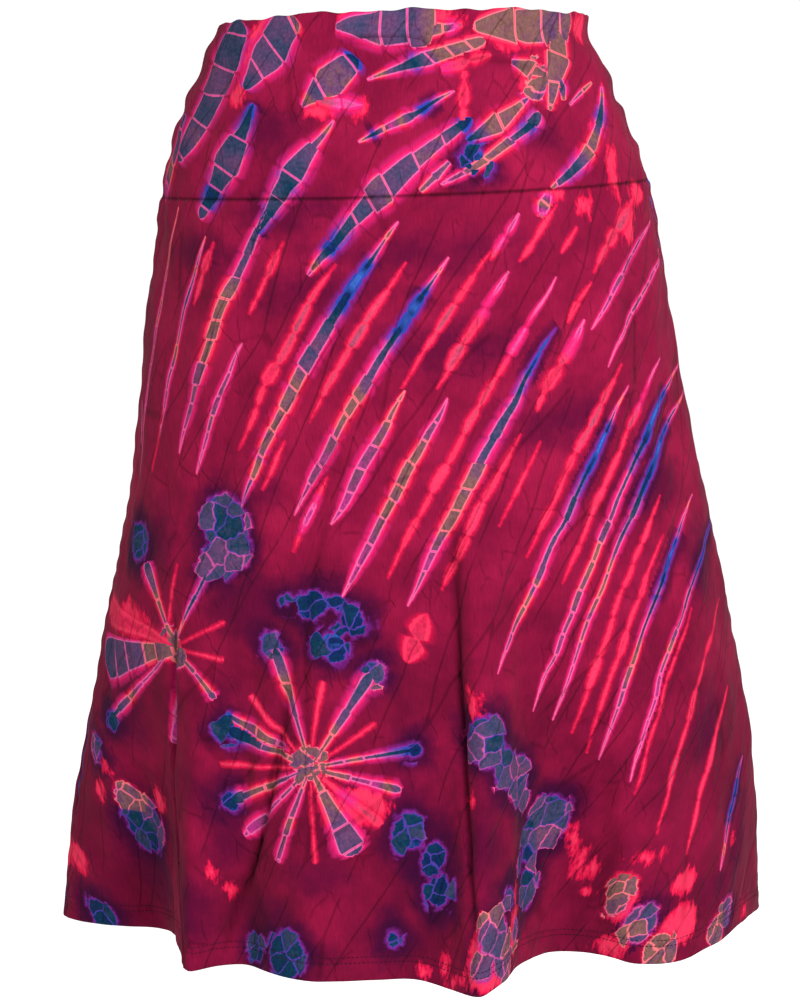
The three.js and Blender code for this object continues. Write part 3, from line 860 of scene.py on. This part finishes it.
class Recipe:
    """The nodes of one material, put together step by step."""

    def __init__(self, name):
        self.material = bpy.data.materials.new(name)
        self.material.use_nodes = True
        self.tree = self.material.node_tree
        self.tree.nodes.clear()
        self.shader = self.tree.nodes.new("ShaderNodeBsdfPrincipled")
        output = self.tree.nodes.new("ShaderNodeOutputMaterial")
        self.tree.links.new(self.shader.outputs["BSDF"], output.inputs["Surface"])

    def put(self, value, socket):
        """Joins an output to a socket, or sets the socket's own value."""
        if isinstance(value, bpy.types.NodeSocket):
            self.tree.links.new(value, socket)
        else:
            socket.default_value = value

    def node(self, kind, inputs, output=0, **settings):
        """The output of a new node, from the node's inputs, by name or number, and its settings."""
        made = self.tree.nodes.new("ShaderNode" + kind)
        for label, setting in settings.items():
            setattr(made, label, setting)
        for label, value in inputs.items():
            self.put(value, made.inputs[label])
        return made.outputs[output]

    def maths(self, operation, *terms):
        return self.node("Math", dict(enumerate(terms)), operation=operation)

    def in_turn(self, operation, terms):
        result = terms[0]
        for term in terms[1:]:
            result = self.maths(operation, result, term)
        return result

    def total(self, *terms):
        return self.in_turn("ADD", terms)

    def times(self, *terms):
        return self.in_turn("MULTIPLY", terms)

    def rest_of(self, share):
        """What a share leaves of the whole."""
        return self.total(1, self.times(share, -1))

    def centred(self, value):
        """A value around 0, from noise or a chance that is around a half."""
        return self.total(value, -0.5)

    def rise(self, value, low, high, start=0, end=1):
        """A soft step: start where the value is low, and end where it is high."""
        inputs = {"Value": value, "From Min": low, "From Max": high, "To Min": start, "To Max": end}
        return self.node("MapRange", inputs, "Result", interpolation_type="SMOOTHSTEP")

    def stored(self, label):
        """The three numbers that the mesh holds under a label."""
        return self.parts(self.node("Attribute", {}, "Vector", attribute_name=label))

    def object_place(self):
        return self.node("TexCoord", {}, "Object")

    def parts(self, vector):
        return list(self.node("SeparateXYZ", {0: vector}).node.outputs)

    def stretched(self, vector, scale):
        return self.node("Mapping", {"Vector": vector, "Scale": scale})

    def slanted(self, vector, turn, stretch):
        """A vector that draws a pattern out along its own upright, turned from the vertical."""
        inputs = {"Vector": vector, "Rotation": (0, 0, turn), "Scale": (1, stretch, 1)}
        return self.node("Mapping", inputs, vector_type="TEXTURE")

    def noise(self, vector, scale, detail=3.0, roughness=0.55):
        """Soft noise, about 0.5 in the middle; scale is in waves for each mm."""
        inputs = {"Vector": vector, "Scale": scale, "Detail": detail, "Roughness": roughness}
        return self.node("TexNoise", inputs)

    def wavering(self, vector, scale, height):
        """A vector that is shifted by noise, so that a pattern's lines waver."""
        noise = self.node("TexNoise", {"Vector": vector, "Scale": scale, "Detail": 2}, "Color")
        middle = self.node("VectorMath", {0: noise, 1: (0.5, 0.5, 0.5)}, operation="SUBTRACT")
        return self.node("VectorMath", {0: vector, 1: self.shade(middle, 2 * height)}, operation="ADD")

    def voronoi(self, dimensions, inputs, chance):
        feature, output = ("F1", "Color") if chance else ("DISTANCE_TO_EDGE", "Distance")
        return self.node("TexVoronoi", inputs, output, voronoi_dimensions=dimensions, feature=feature)

    def cells(self, vector, scale, chance=False):
        """Cells of cloth between ties: the distance to their edge, or a chance colour for each."""
        return self.voronoi("2D", {"Vector": vector, "Scale": scale}, chance)

    def beads(self, place, chance=False):
        """Cells one after the other along a line: the distance to their ends, or a chance colour."""
        return self.voronoi("1D", {"W": place, "Scale": 1, "Randomness": 0.8}, chance)

    def mix(self, share, first, second):
        return self.node("Mix", {0: share, 6: first, 7: second}, 2, data_type="RGBA")

    def shade(self, colour, by):
        """A colour made darker or lighter by a factor."""
        return self.node("VectorMath", {0: colour, "Scale": by}, operation="SCALE")

    def ramp(self, place, stops):
        """A run of colours, from stops of place and colour."""
        run = self.node("ValToRGB", {0: place})
        elements = run.node.color_ramp.elements
        while len(elements) < len(stops):
            elements.new(0.5)
        for element, (position, colour) in zip(elements, stops):
            element.position = position
            element.color = colour
        return run

    def bump(self, height, distance, strength=1.0, below=None):
        inputs = {"Height": height, "Distance": distance, "Strength": strength}
        if below is not None:
            inputs["Normal"] = below
        return self.node("Bump", inputs)


SLANT = 0.52  # how far the pleats turn from the vertical, in radians
DYE_STRENGTH = 0.38  # how much light the dyed cloth sends back, against the named colours


def colour(red, green, blue, strength=DYE_STRENGTH):
    """A colour from its 0 to 255 parts, as the linear colour that a material takes."""
    parts = np.array([red, green, blue]) / 255
    linear = np.where(parts > 0.04045, ((parts + 0.055) / 1.055) ** 2.4, parts / 12.92)
    return (*(linear * strength).tolist(), 1)


CRIMSON = colour(143, 17, 60)
DEEP_CRIMSON = colour(104, 9, 46)
BRIGHT_CRIMSON = colour(164, 24, 68)
PLUM = colour(76, 6, 50)
DARK_PLUM = colour(42, 6, 50)
RED = colour(226, 20, 72)
CORAL = colour(250, 54, 94)
PALE_CORAL = colour(255, 146, 150)
MAGENTA = colour(230, 36, 128)
PALE_MAGENTA = colour(240, 122, 184)
BRIGHT_BLUE = colour(48, 68, 168)
VIOLET_EDGE = colour(128, 36, 140)
LILAC = colour(176, 70, 168)
DYE_COLOURS = [
    ("blue", colour(60, 104, 196)),
    ("navy", colour(14, 36, 86)),
    ("teal", colour(14, 56, 80)),
    ("slate", colour(66, 66, 102)),
    ("dusk", colour(104, 64, 106)),
    ("olive", colour(132, 90, 84)),
    ("grape", colour(116, 62, 98)),
    ("violet", colour(186, 46, 132)),
    ("pink", colour(232, 76, 150)),
    ("ghost", colour(176, 74, 104)),
    ("coral", colour(248, 58, 102)),
]


def crinkles(r, crushed, scale, size, patches):
    """Hairlines between cells of crushed cloth of about a size in mm, only in some patches."""
    return r.times(r.rise(r.times(r.cells(crushed, scale), size), 0.1, 0.8, 1, 0), patches)


def dyed_and_shaded_jersey(name):
    """Cotton jersey after the dyer's work, with painted shade in its creases. All lengths are in mm on the
    flat cloth.
    """
    r = Recipe(name)
    place = r.node("Attribute", {}, "Vector", attribute_name="cloth_place")
    _, down, _ = r.parts(place)
    across, along, half = r.stored("tied_pleat")
    hue, tie, cell_length = r.stored("tied_dye")
    blot, blot_hue, glow = r.stored("blots")
    # Plum patches that are painted shade left of the long fold, and painted shade along the deep creases and
    # the band's seam.
    plum_and_shade, crease_shade, _ = r.stored("plum_and_painted_shade")

    # Cells: the threads crossed the pleat and left thin lines, and each cell between them swelled
    # by its own amount. Pleats that only took the coral are pinched where they were tied.
    chance = r.maths("FRACT", r.times(tie, 0.618))
    tilt = r.times(across, r.centred(chance), 0.8)
    run = r.total(r.maths("DIVIDE", r.total(along, tilt), cell_length), r.times(tie, 3.7))
    rung = r.times(r.beads(run), cell_length)
    swell, second_chance, third_chance = r.parts(r.beads(run, chance=True))
    flame = r.rise(hue, 0.79, 0.83)
    neck = r.total(2.6, r.times(flame, second_chance, 5.5))
    narrowed = r.total(0.78, r.times(flame, third_chance, -0.5))
    pinch = r.rise(rung, 0, neck, narrowed, 1)
    width = r.total(0.84, r.times(swell, 0.3), r.times(flame, r.total(-0.34, r.times(swell, 0.3))))
    ragged = r.centred(r.noise(place, 0.35, 4))
    reach = r.times(half, width, 1.08)
    from_middle = r.maths("ABSOLUTE", across)
    torn = r.times(ragged, r.total(1.1, r.times(flame, 1.6)))
    tied_depth = r.total(r.times(reach, pinch), r.times(from_middle, -1), torn)
    widest_rim = r.total(2.0, r.times(third_chance, 1.1))
    rim_width = r.maths("MINIMUM", r.total(r.times(half, 0.46), 0.3), widest_rim)
    wide_blue = r.times(r.rise(hue, 0.2, 0.34, 1, 0), r.rise(half, 6, 8), 1.4)
    rim_width = r.total(rim_width, wide_blue)
    tied_core = r.total(reach, r.times(from_middle, -1), r.times(rim_width, -1), r.times(ragged, 0.9))
    thin_blue = r.times(r.rise(hue, 0.3, 0.44, 1, 0), r.rise(half, 5, 7, 1, 0))
    across_rung = r.total(r.times(rung, 1.1), r.times(second_chance, -0.5), r.times(thin_blue, 20), -0.4)
    tied_core = r.maths("MINIMUM", tied_core, across_rung)

    # Blots keep the corners of the crushed folds that held them, and their folds left thin lines.
    crushed = r.slanted(r.wavering(place, 0.1, 4), 0.9, 1.5)
    net = r.times(r.cells(crushed, 0.09), 11)
    corner, _, _ = r.parts(r.cells(crushed, 0.09, chance=True))
    held = r.total(r.times(r.centred(corner), 8), r.times(r.centred(r.noise(place, 0.2, 4, 0.6)), 7))
    blot_depth = r.maths("MINIMUM", r.total(blot, held, 1.4), r.total(net, 0.42))
    blot_core = r.total(blot_depth, -0.6)
    is_blot = r.rise(r.total(blot_depth, r.times(tied_depth, -1)), -0.3, 0.3)
    not_blot = r.rest_of(is_blot)
    depth = r.maths("MAXIMUM", tied_depth, blot_depth)
    core_depth = r.total(r.times(tied_core, not_blot), r.times(blot_core, is_blot))
    dye_place = r.total(r.times(hue, not_blot), r.times(blot_hue, is_blot))
    patchy = r.times(r.centred(r.noise(place, 0.1, 3)), 0.22)
    cell_shift = r.times(r.centred(second_chance), 0.1)
    blot_shift = r.times(r.total(corner, -0.2), is_blot, r.rise(blot_hue, 0.3, 0.5, 0.2, -0.08))
    shift = r.total(patchy, cell_shift, blot_shift)
    dye_place = r.total(dye_place, r.times(shift, r.rise(dye_place, 0.66, 0.8, 1, 0.12)))
    core = r.ramp(dye_place, [(DYES[name], shade) for name, shade in DYE_COLOURS])
    core = r.mix(r.times(flame, not_blot, r.rise(third_chance, 0.3, 0.9, 0, 0.7)), core, RED)
    core = r.shade(core, r.rise(r.noise(place, 0.4, 4, 0.65), 0.25, 0.75, 0.76, 1.26))

    # From the ground into a cell: red, coral, a pale line, then the dye. Where the dye is blue, its
    # edge is violet and bright blue instead.
    cool = r.rise(r.total(dye_place, r.times(is_blot, -0.12)), 0.16, 0.36, 1, 0)
    from_olive = r.rise(r.maths("ABSOLUTE", r.total(dye_place, -DYES["olive"])), 0.04, 0.1)
    pinkish = r.times(from_olive, r.rise(dye_place, 0.86, 0.9, 0.85, 0))
    warm_edge = r.mix(r.rise(depth, -0.2, 1.2), RED, r.mix(pinkish, CORAL, MAGENTA))
    cool_edge = r.mix(r.rise(depth, 0.1, 0.9), VIOLET_EDGE, BRIGHT_BLUE)
    by_thread = r.times(r.rise(rung, 0.5, 1.3, 1, 0), not_blot, r.rest_of(thin_blue))
    cool_edge = r.mix(by_thread, cool_edge, LILAC)
    rim = r.mix(cool, warm_edge, cool_edge)
    pale = r.mix(from_olive, PALE_CORAL, PALE_MAGENTA)
    pale_share = r.times(r.rise(core_depth, -1.1, -0.1), r.rest_of(flame), r.rest_of(cool))
    cell = r.mix(r.rise(core_depth, 0.0, 0.6), r.mix(r.times(pale_share, 0.62), rim, pale), core)

    # The ground is deeper towards the hem, with plum smudges and painted shade left of the long fold, and
    # coral glows where less dye got in.
    clouds = r.noise(place, 0.017, 5, 0.62)
    low_down, high_up = r.rise(down, 170, 420), r.rise(down, -60, 20, 1, 0)
    tone = r.total(clouds, r.times(low_down, -0.13), r.times(high_up, 0.03))
    ground = r.ramp(r.rise(tone, 0.13, 0.77), [(0, DEEP_CRIMSON), (0.62, CRIMSON), (1, BRIGHT_CRIMSON)])
    smoke = r.times(r.centred(r.noise(place, 0.045, 6, 0.62)), 44)
    by_blot = r.times(r.total(blot, 6), r.rise(blot_hue, 0.3, 0.45, 1, 0))
    by_blot = r.total(by_blot, r.rise(blot_hue, 0.3, 0.45, 0, -30))
    smoky = r.total(r.maths("MAXIMUM", plum_and_shade, by_blot), smoke)
    ground = r.mix(r.times(r.rise(smoky, -14, 12), 0.7), ground, PLUM)
    by_line = r.total(r.rise(tied_depth, -14, 0, -14, 3), r.rise(hue, 0.2, 0.34, 0, -30))
    by_line = r.total(by_line, r.rise(half, 3.4, 4.4, 0, -30))
    soaked = r.total(r.maths("MAXIMUM", by_blot, by_line), r.times(smoke, 0.45))
    ground = r.mix(r.times(r.rise(soaked, -11, 5), 0.72), ground, DARK_PLUM)
    feather = r.noise(r.stretched(place, (1, 0.4, 1)), 0.17, 5, 0.68)
    glowing = r.total(r.times(glow, 1.2), r.times(r.centred(feather), 30), 1)
    ground = r.mix(r.rise(glowing, -1.6, 2.4), ground, r.mix(r.rise(glowing, 1, 6), RED, CORAL))
    fringe = r.mix(cool, r.mix(pinkish, RED, MAGENTA), VIOLET_EDGE)
    fringe_width = r.total(-1.6, r.rise(half, 0, 8, 0, -4), r.times(is_blot, -1))
    fringe_share = r.times(r.rise(depth, fringe_width, 0), r.total(0.46, r.times(pinkish, 0.2)))
    dyed_and_shaded = r.mix(fringe_share, ground, fringe)
    soft = r.maths("MAXIMUM", flame, r.times(r.rise(hue, 0.06, 0.16, 1, 0), thin_blue, not_blot))
    outer, inner = r.total(-0.6, r.times(soft, -1.1)), r.total(0.1, r.times(soft, 1.1))
    dyed_and_shaded = r.mix(r.rise(depth, outer, inner), dyed_and_shaded, cell)

    # The knit has fine ribs down the cloth. The tying pressed in hairline crinkles, most of them
    # slanting with the pleats. They are bumped, and painted shade darkens their lines.
    ribs = r.noise(r.stretched(place, (1.4, 0.09, 1)), 1, 2)
    dyed_and_shaded = r.shade(dyed_and_shaded, r.rise(ribs, 0.3, 0.7, 0.9, 1.09))
    slanting = r.slanted(r.wavering(place, 0.012, 6), SLANT, 8)
    long_lines = crinkles(r, slanting, 0.036, 28, r.rise(r.noise(place, 0.02, 2), 0.36, 0.5))
    crossing = r.slanted(r.wavering(place, 0.05, 6), -0.3, 2.6)
    short_lines = crinkles(r, crossing, 0.06, 16, r.rise(r.noise(place, 0.035, 3), 0.48, 0.6))
    # Painted shade along the crinkle lines.
    long_shade, short_shade = r.times(long_lines, -0.27), r.times(short_lines, -0.24)
    # Painted shade along the deep creases and in the band's seam darkens the colour with the crinkles'
    # shade.
    dyed_and_shaded = r.shade(dyed_and_shaded, r.total(1, long_shade, short_shade, r.times(crease_shade, -0.72)))
    r.put(dyed_and_shaded, r.shader.inputs["Base Color"])

    crumple = r.noise(r.slanted(place, SLANT, 3), 0.1, 4, 0.55)
    crease_shade_and_bump = r.total(r.times(long_lines, -0.35), r.times(short_lines, -0.2), r.times(crumple, 1.1))
    normal = r.bump(crease_shade_and_bump, 1.7 * MM)
    loops = r.noise(r.stretched(place, (1.6, 1.1, 1)), 1, 1)
    normal = r.bump(loops, 0.1 * MM, 0.5, normal)
    r.put(normal, r.shader.inputs["Normal"])
    r.put(r.rise(clouds, 0.3, 0.7, 0.82, 0.92), r.shader.inputs["Roughness"])
    r.shader.inputs["Sheen Weight"].default_value = 0.01
    r.shader.inputs["Sheen Roughness"].default_value = 0.5
    r.shader.inputs["Specular IOR Level"].default_value = 0.02
    return r.material


dyed_and_shaded_cloth = dyed_and_shaded_jersey("dyed_and_shaded_jersey")
skirt_panels = {}
for side in sides:
    panel = shell(f"panel_{side}", side, BAND_ROWS, len(levels) - 1, JERSEY, 0, 0.5, TURN_UP)
    panel.data.materials.append(dyed_and_shaded_cloth)
    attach(panel, "root")
    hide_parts(f"skirt_{side}")
    skirt_panels[side] = panel

# ---- Waistband ---------------------------------------------------------------------------------
# The band is cut double in the same jersey and folded at its top edge, so that two layers lie
# against each other. It is wide enough to be worn up on the waist or folded down over the hips.

BAND_THICKNESS = 2.1
for side in sides:
    band = shell(f"band_{side}", side, 0, BAND_ROWS, BAND_THICKNESS, 0.9, 0)
    band.data.materials.append(dyed_and_shaded_cloth)
    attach(band, "root")
    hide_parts(f"waistband_{side}")

# ---- Seams -------------------------------------------------------------------------------------
# Overlock seams join the band to the skirt and run down both sides. Inside, each leaves both layers
# 7 mm wide, pressed up or towards the back, with the cut edge bound by thread.

ALLOWANCE = 7
ALLOWANCE_THICKNESS = 1.7
BITE = 4.2  # how far the overlock reaches in from the cut edge
OVERLOCK_STEP = 1.4
THREAD = 0.2  # half the thickness of the sewing thread
CLEARANCE = 0.15  # between the cloth and an allowance
OVER_THE_EDGE = 0.3  # how far the thread goes past the cut edge that it binds
BAND_SEAM_RISES = np.array([0.4, -2.4, -4.8, -ALLOWANCE])  # lines along the allowance, down is plus
SIDE_SEAM_LINES = (0.6, 3.6, ALLOWANCE)  # lines along the allowance, in from the seam
HEM_ROWS = 10  # rows of cloth at the hem that the side seams' allowances leave free
ALL_COLUMNS = np.arange(COLUMNS + 1.0)
INNER_COLUMNS = np.linspace(0.5, COLUMNS - 0.5, COLUMNS + 1)


def between_points(grid, rows, columns):
    """Values of a grid of points at rows and columns that may lie between its own."""
    j = np.clip(np.floor(rows).astype(int), 0, grid.shape[0] - 2)
    i = np.clip(np.floor(columns).astype(int), 0, grid.shape[1] - 2)
    down, right = (rows - j)[..., None], (columns - i)[..., None]
    upper = grid[j, i] * (1 - right) + grid[j, i + 1] * right
    lower = grid[j + 1, i] * (1 - right) + grid[j + 1, i + 1] * right
    return upper * (1 - down) + lower * down


def under_the_face(side, rows, columns, depth):
    """Points of a side's cloth, moved in from its outer face."""
    out = between_points(cloth_out[side], rows, columns)
    return between_points(cloth[side], rows, columns) - out * np.asarray(depth)[..., None]


def rows_down(side, down):
    """The row of each column that is so many mm down the cloth from the band's seam."""
    t = places[side][1]
    down = np.broadcast_to(down, t[0].shape)
    return np.array([np.interp(down[i], t[:, i], np.arange(len(t))) for i in range(t.shape[1])])


def columns_in(side, inward, from_first, rows):
    """The column of each row that is so many mm in from one of the side seams."""
    s = places[side][0][rows]
    edge = s[:, :1] if from_first else s[:, -1:]
    inner = abs(s - edge)
    found = []
    for row in inner:
        order = slice(None) if from_first else slice(None, None, -1)
        found.append(np.interp(inward, row[order], ALL_COLUMNS[order]))
    return np.array(found)


def new_piece(name, points, faces, finish):
    """A piece of the skirt from points in mm and facets, which rides on the skirt."""
    mesh = bpy.data.meshes.new(name)
    mesh.from_pydata((points.reshape(-1, 3) * MM).tolist(), [], faces)
    knit = bmesh.new()
    knit.from_mesh(mesh)
    bmesh.ops.recalc_face_normals(knit, faces=knit.faces)
    knit.to_mesh(mesh)
    knit.free()
    mesh.shade_smooth()
    mesh.materials.append(finish)
    piece = bpy.data.objects.new(name, mesh)
    bpy.context.collection.objects.link(piece)
    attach(piece, "root")
    return piece


def tubes(name, paths, normals, radii, finish):
    """Threads: a square tube along each path of points, thicker or thinner along the way."""
    tangents = np.gradient(paths, axis=1)
    aside = np.cross(tangents, normals)
    aside /= np.linalg.norm(aside, axis=2, keepdims=True)
    up = np.cross(aside, tangents)
    up /= np.linalg.norm(up, axis=2, keepdims=True)
    radii = np.broadcast_to(radii, paths.shape[1])[:, None]
    high, wide = up * radii, aside * radii
    ring = np.stack([paths + high, paths + wide, paths - high, paths - wide], 2)
    count, steps = paths.shape[:2]
    faces = []
    for n in range(count):
        first = n * steps * 4
        faces.append([first + 3, first + 2, first + 1, first])
        for k in range(steps - 1):
            low = first + 4 * k
            faces += [[low + q, low + (q + 1) % 4, low + 4 + (q + 1) % 4, low + 4 + q] for q in range(4)]
        last = first + 4 * (steps - 1)
        faces.append([last, last + 1, last + 2, last + 3])
    return new_piece(name, ring, faces, finish)


def strip(name, side, rows, columns, depth):
    """The allowance of a seam: a flat strip of two layers against the inside of the cloth."""
    near = under_the_face(side, rows, columns, np.full(rows.shape, depth))
    far = under_the_face(side, rows, columns, np.full(rows.shape, depth + ALLOWANCE_THICKNESS))
    section = np.concatenate([near, far[::-1]])
    count, width = section.shape[:2]
    faces = []
    for k in range(count):
        for i in range(width - 1):
            after = (k + 1) % count
            faces.append([k * width + i, after * width + i, after * width + i + 1, k * width + i + 1])
    faces.append([k * width for k in range(count)])
    faces.append([k * width + width - 1 for k in range(count)][::-1])
    return new_piece(name, section, faces, seam_cloth)


def overlock(name, side, rows, columns, depth):
    """Thread that goes to and fro over a cut edge: rows and columns run first needle, then edge."""
    place = under_the_face(side, rows, columns, depth)
    steps = np.linalg.norm(np.diff((place[0] + place[1]) / 2, axis=0), axis=1)
    run = np.append(0, np.cumsum(steps))
    at = np.arange(1.0, run[-1] - 1, OVERLOCK_STEP)
    turn = np.arange(len(at)) % 2
    line = np.arange(len(run), dtype=float)
    k = np.interp(at, run, line)
    row = np.where(turn, np.interp(k, line, rows[1]), np.interp(k, line, rows[0]))
    column = np.where(turn, np.interp(k, line, columns[1]), np.interp(k, line, columns[0]))
    deep = np.where(turn, depth[1].mean(), depth[0].mean())
    path = under_the_face(side, row, column, deep)
    out = between_points(cloth_out[side], row, column)
    return tubes(name, path[None], -out[None], THREAD, thread_finish)


def over_allowance(depth, shape):
    """How deep the overlock's needle and edge lines lie on an allowance that begins at a depth."""
    lines = np.array([depth + ALLOWANCE_THICKNESS + THREAD, depth + ALLOWANCE_THICKNESS / 2])
    return np.broadcast_to(lines[:, None], shape)


def sewing_thread(name, shade):
    """Spun polyester thread, twisted, with a faint unevenness."""
    r = Recipe(name)
    twist = r.noise(r.object_place(), 900, 2)
    r.put(r.shade(shade[:3], r.rise(twist, 0.3, 0.7, 0.7, 1.25)), r.shader.inputs["Base Color"])
    r.put(r.bump(twist, 0.1 * MM, 0.6), r.shader.inputs["Normal"])
    r.put(r.rise(twist, 0.3, 0.7, 0.6, 0.75), r.shader.inputs["Roughness"])
    r.shader.inputs["Specular IOR Level"].default_value = 0.08
    return r.material


def plain_jersey(name):
    """The wrong side of the dyed jersey at the seams: crimson, with fine ribs and soft clouds."""
    r = Recipe(name)
    ribs = r.noise(r.stretched(r.object_place(), (1100, 1100, 120)), 1, 2)
    clouds = r.noise(r.object_place(), 22, 4)
    base = r.ramp(clouds, [(0.3, PLUM), (0.55, CRIMSON), (0.8, BRIGHT_CRIMSON)])
    r.put(r.shade(base, r.rise(ribs, 0.3, 0.7, 0.86, 1.1)), r.shader.inputs["Base Color"])
    r.put(r.bump(ribs, 0.2 * MM, 0.6), r.shader.inputs["Normal"])
    r.put(r.rise(clouds, 0.3, 0.7, 0.84, 0.93), r.shader.inputs["Roughness"])
    r.shader.inputs["Specular IOR Level"].default_value = 0.02
    return r.material


seam_cloth = plain_jersey("seam_jersey")
thread_finish = sewing_thread("sewing_thread", colour(176, 40, 84))
sewn_on = {side: [] for side in sides}
for side in sides:
    rows = np.array([rows_down(side, rise) for rise in BAND_SEAM_RISES])
    columns = np.broadcast_to(INNER_COLUMNS, rows.shape)
    depth = BAND_THICKNESS + CLEARANCE
    sewn_on[side].append(strip(f"band_seam_{side}", side, rows, columns, depth))
    edge_lines = (BITE - ALLOWANCE, -ALLOWANCE - OVER_THE_EDGE)
    edges = np.array([rows_down(side, rise) for rise in edge_lines])
    deep = over_allowance(depth, edges.shape)
    sewn_on[side].append(overlock(f"band_overlock_{side}", side, edges, columns[:2], deep))

# The side seams' allowances lie against the back panel, from under the band's seam down to just
# above the cut edge of the turned-up hem.
seam_rows = np.arange(BAND_ROWS + 1, len(levels) - HEM_ROWS)
for label, from_first in (("right", True), ("left", False)):
    columns = np.array([columns_in("back", line, from_first, seam_rows) for line in SIDE_SEAM_LINES])
    rows = np.broadcast_to(seam_rows.astype(float), columns.shape)
    depth = JERSEY + CLEARANCE
    sewn_on["back"].append(strip(f"side_seam_{label}", "back", rows, columns, depth))
    edge_lines = (ALLOWANCE - BITE, ALLOWANCE + OVER_THE_EDGE)
    edges = np.array([columns_in("back", line, from_first, seam_rows) for line in edge_lines])
    deep = over_allowance(depth, edges.shape)
    sewn_on["back"].append(overlock(f"side_overlock_{label}", "back", rows[:2], edges, deep))

# ---- Hem ---------------------------------------------------------------------------------------
# The hem is turned up once and sewn from the outside with a twin needle. That leaves two rows of
# stitches outside, and thread that goes to and fro over the cut edge inside.

STITCH = 2.3  # length of a stitch
STITCH_PITCH = 3.0
FIRST_STITCH = 1.5  # how far from the side seams the rows begin and end
STITCH_DEPTHS = [0.16, -0.22, 0.16]  # a stitch's ends sink in, and its middle stands out
STITCH_RADII = np.array([0.2, 0.27, 0.2])
HEM_CLEARANCE = 0.35
stitch_finish = sewing_thread("hem_thread", colour(58, 6, 34))
for side in sides:
    hem_down = places[side][1][-1]
    stitch_places = []
    for needle in NEEDLE_ROWS:
        rows = rows_down(side, hem_down - needle)
        line = under_the_face(side, rows, ALL_COLUMNS, 0 * rows)
        run = np.append(0, np.cumsum(np.linalg.norm(np.diff(line, axis=0), axis=1)))
        starts = np.arange(FIRST_STITCH, run[-1] - STITCH - FIRST_STITCH, STITCH_PITCH)
        stitch_columns = np.interp(starts[:, None] + np.array([0, 0.5, 1]) * STITCH, run, ALL_COLUMNS)
        stitch_places.append((np.interp(stitch_columns, ALL_COLUMNS, rows), stitch_columns))
    rows = np.concatenate([place[0] for place in stitch_places])
    columns = np.concatenate([place[1] for place in stitch_places])
    path = under_the_face(side, rows, columns, np.broadcast_to(STITCH_DEPTHS, rows.shape))
    out = between_points(cloth_out[side], rows, columns)
    sewn_on[side].append(tubes(f"hem_stitches_{side}", path, out, STITCH_RADII, stitch_finish))

    edge_lines = (hem_down - NEEDLE_ROWS[0], hem_down - TURN_UP - OVER_THE_EDGE)
    edges = np.array([rows_down(side, line) for line in edge_lines])
    columns = np.broadcast_to(INNER_COLUMNS, edges.shape)
    inner = 2 * JERSEY + HEM_CLEARANCE
    deep = np.broadcast_to(np.array([inner, inner - 0.5])[:, None], edges.shape)
    sewn_on[side].append(overlock(f"hem_thread_{side}", side, edges, columns, deep))

for side in sides:
    panel = skirt_panels[side]

# ---- Floor, light and camera -------------------------------------------------------------------
# A pale studio floor well below the hem, a large soft light from the upper right and an even white
# room, and the camera at the height of the hips, looking a little down.

FLOOR_BELOW_HEM = 0.32
hem_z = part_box("skirt_front")[0][2]
bpy.ops.mesh.primitive_plane_add(size=30, location=(0, 0, hem_z - FLOOR_BELOW_HEM))
floor = bpy.context.object
floor.name = "floor"
paint = Recipe("pale_floor")
flecks = paint.noise(paint.object_place(), 3)
speckled = paint.mix(flecks, (0.95, 0.95, 0.945, 1), (0.965, 0.965, 0.965, 1))
paint.put(speckled, paint.shader.inputs["Base Color"])
paint.shader.inputs["Roughness"].default_value = 0.9
floor.data.materials.append(paint.material)

world = bpy.data.worlds.new("white_room")
bpy.context.scene.world = world
world.use_nodes = True
world.node_tree.nodes["Background"].inputs["Color"].default_value = (1, 1, 1, 1)
world.node_tree.nodes["Background"].inputs["Strength"].default_value = 1.06


def soft_light(name, place, target, size, watts):
    lamp = bpy.data.lights.new(name, "AREA")
    lamp.size, lamp.energy = size, watts
    light = bpy.data.objects.new(name, lamp)
    light.location = place
    light.rotation_euler = (Vector(target) - Vector(place)).to_track_quat("-Z", "Y").to_euler()
    bpy.context.collection.objects.link(light)


soft_light("key_light", (0.9, -2.2, 1.0), (0, 0, -0.3), 0.8, 142)
soft_light("fill_light", (-1.9, -1.6, 0.5), (0, 0, -0.35), 1.5, 14)

lens = bpy.data.cameras.new("camera")
lens.sensor_width = 36
lens.lens = 134.5
camera = bpy.data.objects.new("camera", lens)
camera.location = CAMERA_PLACE * MM
camera.rotation_euler = (np.pi / 2 - CAMERA_DIP, 0, 0)
bpy.context.collection.objects.link(camera)
bpy.context.scene.camera = camera
bpy.context.scene.view_settings.view_transform = "Standard"
